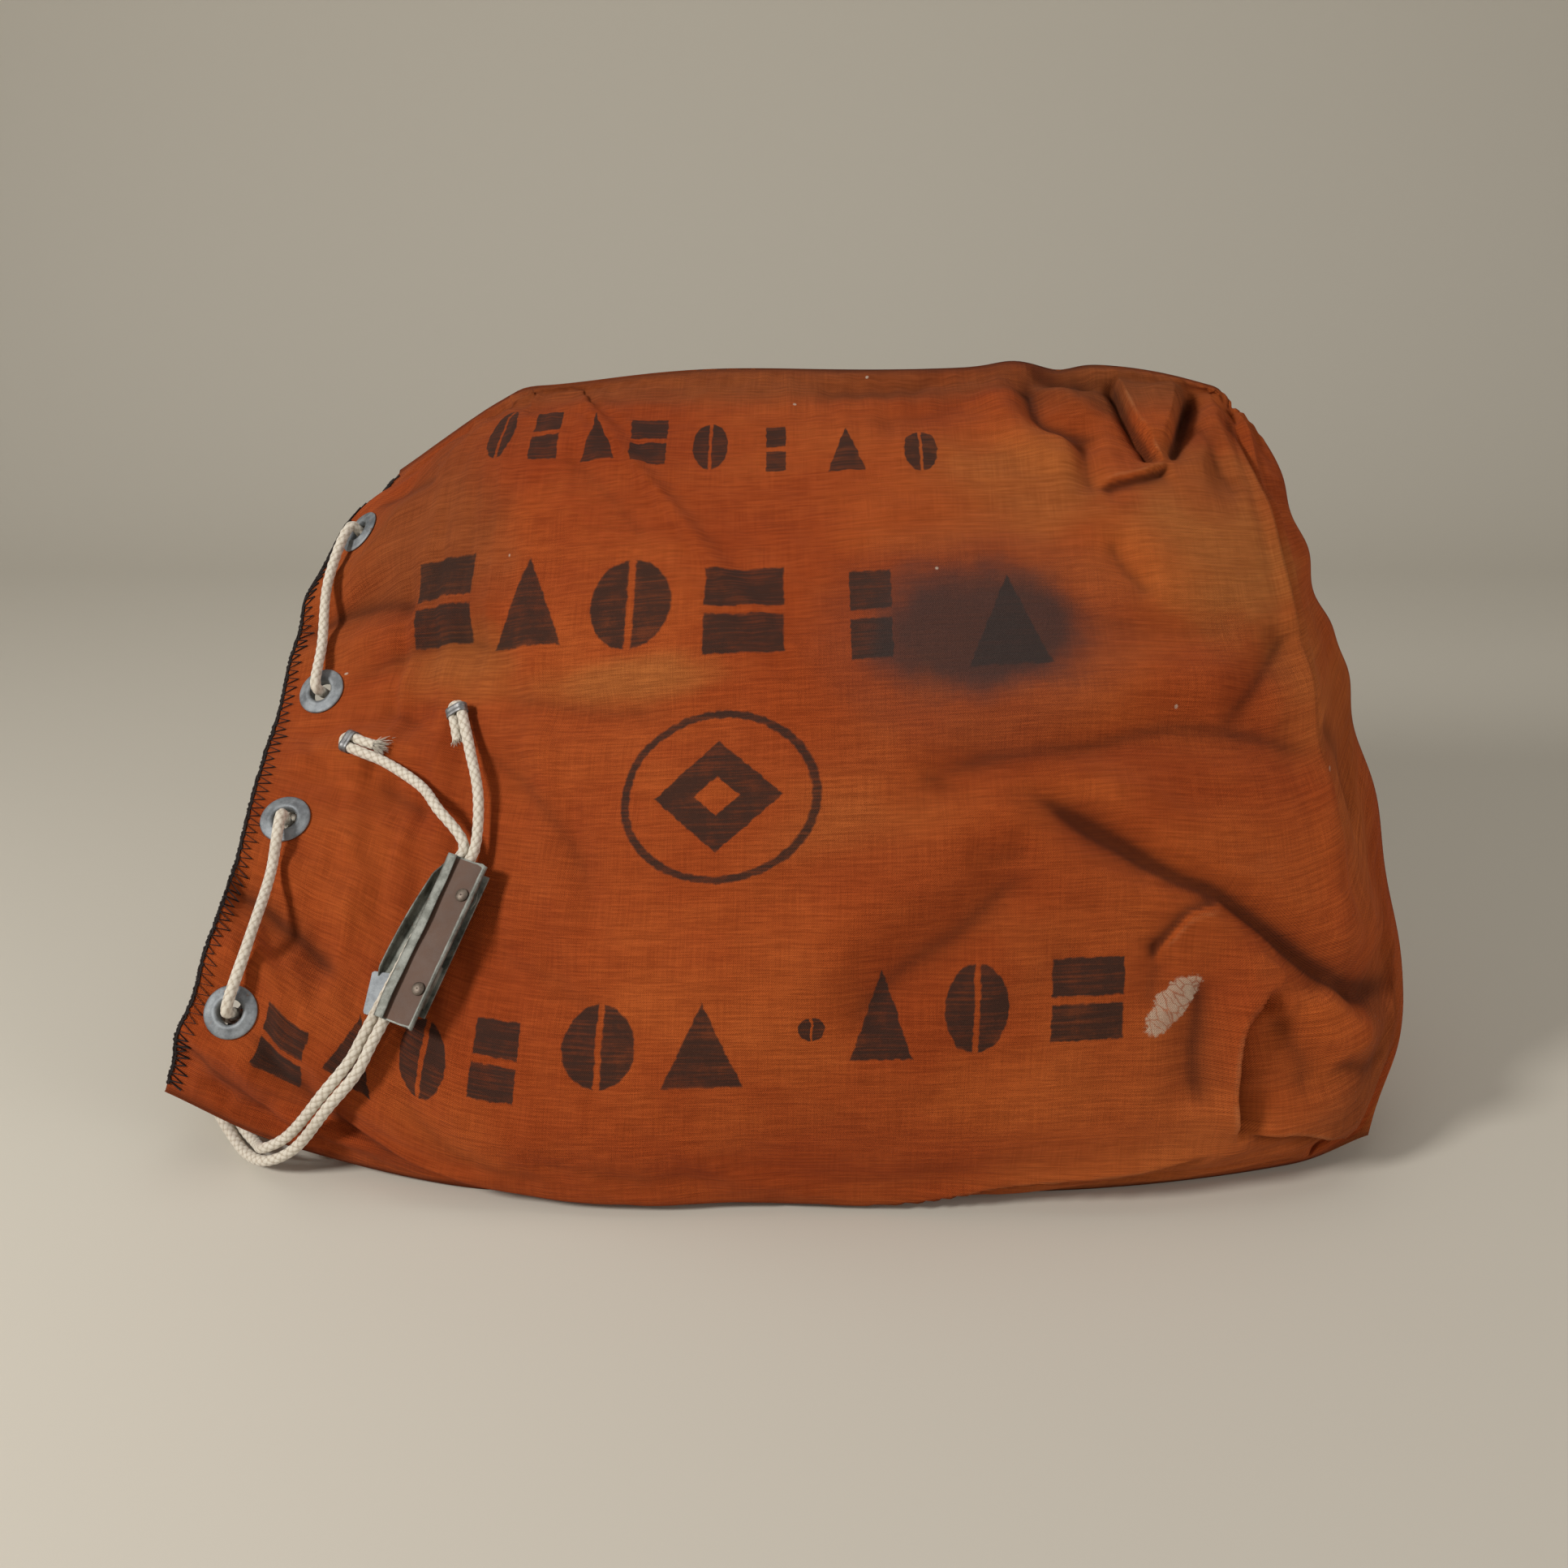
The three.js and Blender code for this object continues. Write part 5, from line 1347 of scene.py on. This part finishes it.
def stitch_group():
    """Geometry Nodes: a thread of round section along every edge of the path mesh."""
    g = bpy.data.node_groups.new("overcast_thread", "GeometryNodeTree")
    g.interface.new_socket("Path", in_out="INPUT", socket_type="NodeSocketGeometry")
    g.interface.new_socket("Radius", in_out="INPUT", socket_type="NodeSocketFloat").default_value = .0005
    g.interface.new_socket("Uneven", in_out="INPUT", socket_type="NodeSocketFloat").default_value = .0002
    g.interface.new_socket("Seed", in_out="INPUT", socket_type="NodeSocketInt").default_value = 5
    g.interface.new_socket("Thread", in_out="OUTPUT", socket_type="NodeSocketGeometry")
    N = g.nodes.new
    inp, out = N("NodeGroupInput"), N("NodeGroupOutput")
    to_curve, circle = N("GeometryNodeMeshToCurve"), N("GeometryNodeCurvePrimitiveCircle")
    sweep = N("GeometryNodeCurveToMesh")
    jitter, rand = N("GeometryNodeSetPosition"), N("FunctionNodeRandomValue")
    rand.data_type = "FLOAT_VECTOR"
    rand.inputs[0].default_value = (-1, -1, -1)
    rand.inputs[1].default_value = (1, 1, 1)
    scale, real = N("ShaderNodeVectorMath"), N("GeometryNodeRealizeInstances")
    paint = N("GeometryNodeSetMaterial")
    scale.operation = "SCALE"
    circle.inputs["Resolution"].default_value = 6
    paint.inputs["Material"].default_value = THREAD
    L = g.links.new
    L(inp.outputs["Path"], to_curve.inputs["Mesh"])
    L(to_curve.outputs["Curve"], jitter.inputs["Geometry"])
    L(inp.outputs["Seed"], rand.inputs["Seed"])
    L(rand.outputs[0], scale.inputs[0])
    L(inp.outputs["Uneven"], scale.inputs["Scale"])
    L(scale.outputs[0], jitter.inputs["Offset"])
    L(jitter.outputs["Geometry"], sweep.inputs["Curve"])
    L(inp.outputs["Radius"], circle.inputs["Radius"])
    L(circle.outputs["Curve"], sweep.inputs["Profile Curve"])
    sweep.inputs["Fill Caps"].default_value = True
    L(sweep.outputs["Mesh"], real.inputs["Geometry"])
    L(real.outputs["Geometry"], paint.inputs["Geometry"])
    L(paint.outputs["Geometry"], out.inputs["Thread"])
    return g


STITCHES = stitch_group()
LEG = 2.5  # mm along the edge from one turn of the zigzag to the next
for panel, label in ((front, "front"), (back, "back")):
    p, n, inward, run = edge_rows(panel, 900)
    read = lambda a, s: np.array([np.interp(s, run, a[:, k]) for k in range(3)])
    verts, edges = [], []
    def strand(points):
        start = len(verts)
        verts.extend(points)
        edges.extend((start + k, start + k + 1) for k in range(len(points) - 1))
    zig, under_zig = [], []
    count = int(run[-1] / LEG)
    for k in range(count):
        s = k * LEG
        deep = k % 2 == 0
        base, out, inn = read(p, s), read(n, s), read(inward, s)
        reach = 8.4 + 1.2 * math.sin(k * 1.7) + .6 * math.sin(k * .53)
        zig.append(base + inn * (reach if deep else .3) + out * .85)
        under_zig.append(base + inn * (.3 if deep else reach) - out * (CLOTH + .65))
    strand(zig)
    strand(under_zig)
    for lift, inset, phase in ((.75, .1, 0), (.5, .9, 1), (-.6, -.25, 2), (-1.9, .2, 3)):
        line = []
        for s in np.arange(0, run[-1], 1.6):
            wave = .35 * math.sin(s * 2.1 + phase) + .2 * math.sin(s * .7 + phase)
            line.append(read(p, s) + read(inward, s) * (inset + wave) + read(n, s) * lift)
        strand(line)
    # loops that wrap over the raw edge
    for k in range(0, count, 2):
        s = k * LEG
        base, out, inn = read(p, s), read(n, s), read(inward, s)
        strand([base + inn * .4 + out * .7, base - inn * .45 + out * .1, base - inn * .5 - out * .7,
                base + inn * .3 - out * (CLOTH + .7)])
    mesh = bpy.data.meshes.new(f"edge_path_{label}")
    mesh.from_pydata([tuple(q * MM) for q in verts], edges, [])
    obj = placed(f"edge_stitches_{label}", mesh)
    obj.modifiers.new("thread", "NODES").node_group = STITCHES
    bake(obj)
    obj.data.materials.clear()
    obj.data.materials.append(THREAD)
    hand_in(obj, "sack", f"edge_thread_{label}", "thread")

# ---------------------------------------------------------------- stage, camera, light
SWEEP_Y, SWEEP_R = 1.1, .7
profile = [(-3.0, 0.0), (SWEEP_Y, 0.0)]
for k in np.linspace(.1, math.pi / 2, 14):
    profile.append((SWEEP_Y + SWEEP_R * math.sin(k), SWEEP_R - SWEEP_R * math.cos(k)))
profile.append((1.8, 3.2))
pts = [(x, y, z - .0004) for y, z in profile for x in (-4.0, 4.0)]
mesh = bpy.data.meshes.new("stage_floor")
mesh.from_pydata(pts, [], [(2 * k, 2 * k + 1, 2 * k + 3, 2 * k + 2) for k in range(len(profile) - 1)])
mesh.polygons.foreach_set("use_smooth", [True] * len(mesh.polygons))
ground = placed("stage_floor", mesh)
s = Shade("stage_paper")
ground.data.materials.append(s.finish((0.60, 0.57, 0.50), 0.9, Specular_IOR_Level=0.2))

cam_data = bpy.data.cameras.new("camera")
cam_data.lens, cam_data.sensor_width = 36.0, 36.0
camera = placed("camera", cam_data)
camera.location = (-0.0034, -0.7886, 0.480)
camera.rotation_euler = (math.radians(68), 0, 0)
bpy.context.scene.camera = camera


def softbox(name, location, target, size, power, colour):
    """A round area light turned towards the target."""
    data = bpy.data.lights.new(name, "AREA")
    data.shape, data.size, data.energy, data.color = "DISK", size, power, colour
    lamp = placed(name, data)
    lamp.location = location
    lamp.rotation_euler = (Vector(target) - Vector(location)).to_track_quat("-Z", "Y").to_euler()


softbox("key", (-1.40, -1.05, 1.20), (0, 0, .15), .42, 30, (1.0, .965, .92))
softbox("top", (0.1, .2, 1.9), (0, 0, .2), 1.4, 5, (1.0, .98, .96))
softbox("fill", (1.9, -1.3, .8), (0, 0, .15), 1.5, 16, (1.0, .97, .93))
world = bpy.data.worlds.new("studio")
world.use_nodes = True
world.node_tree.nodes["Background"].inputs[0].default_value = (.90, .84, .76, 1)
world.node_tree.nodes["Background"].inputs[1].default_value = 0.25
bpy.context.scene.world = world
bpy.context.scene.view_settings.view_transform = "Standard"
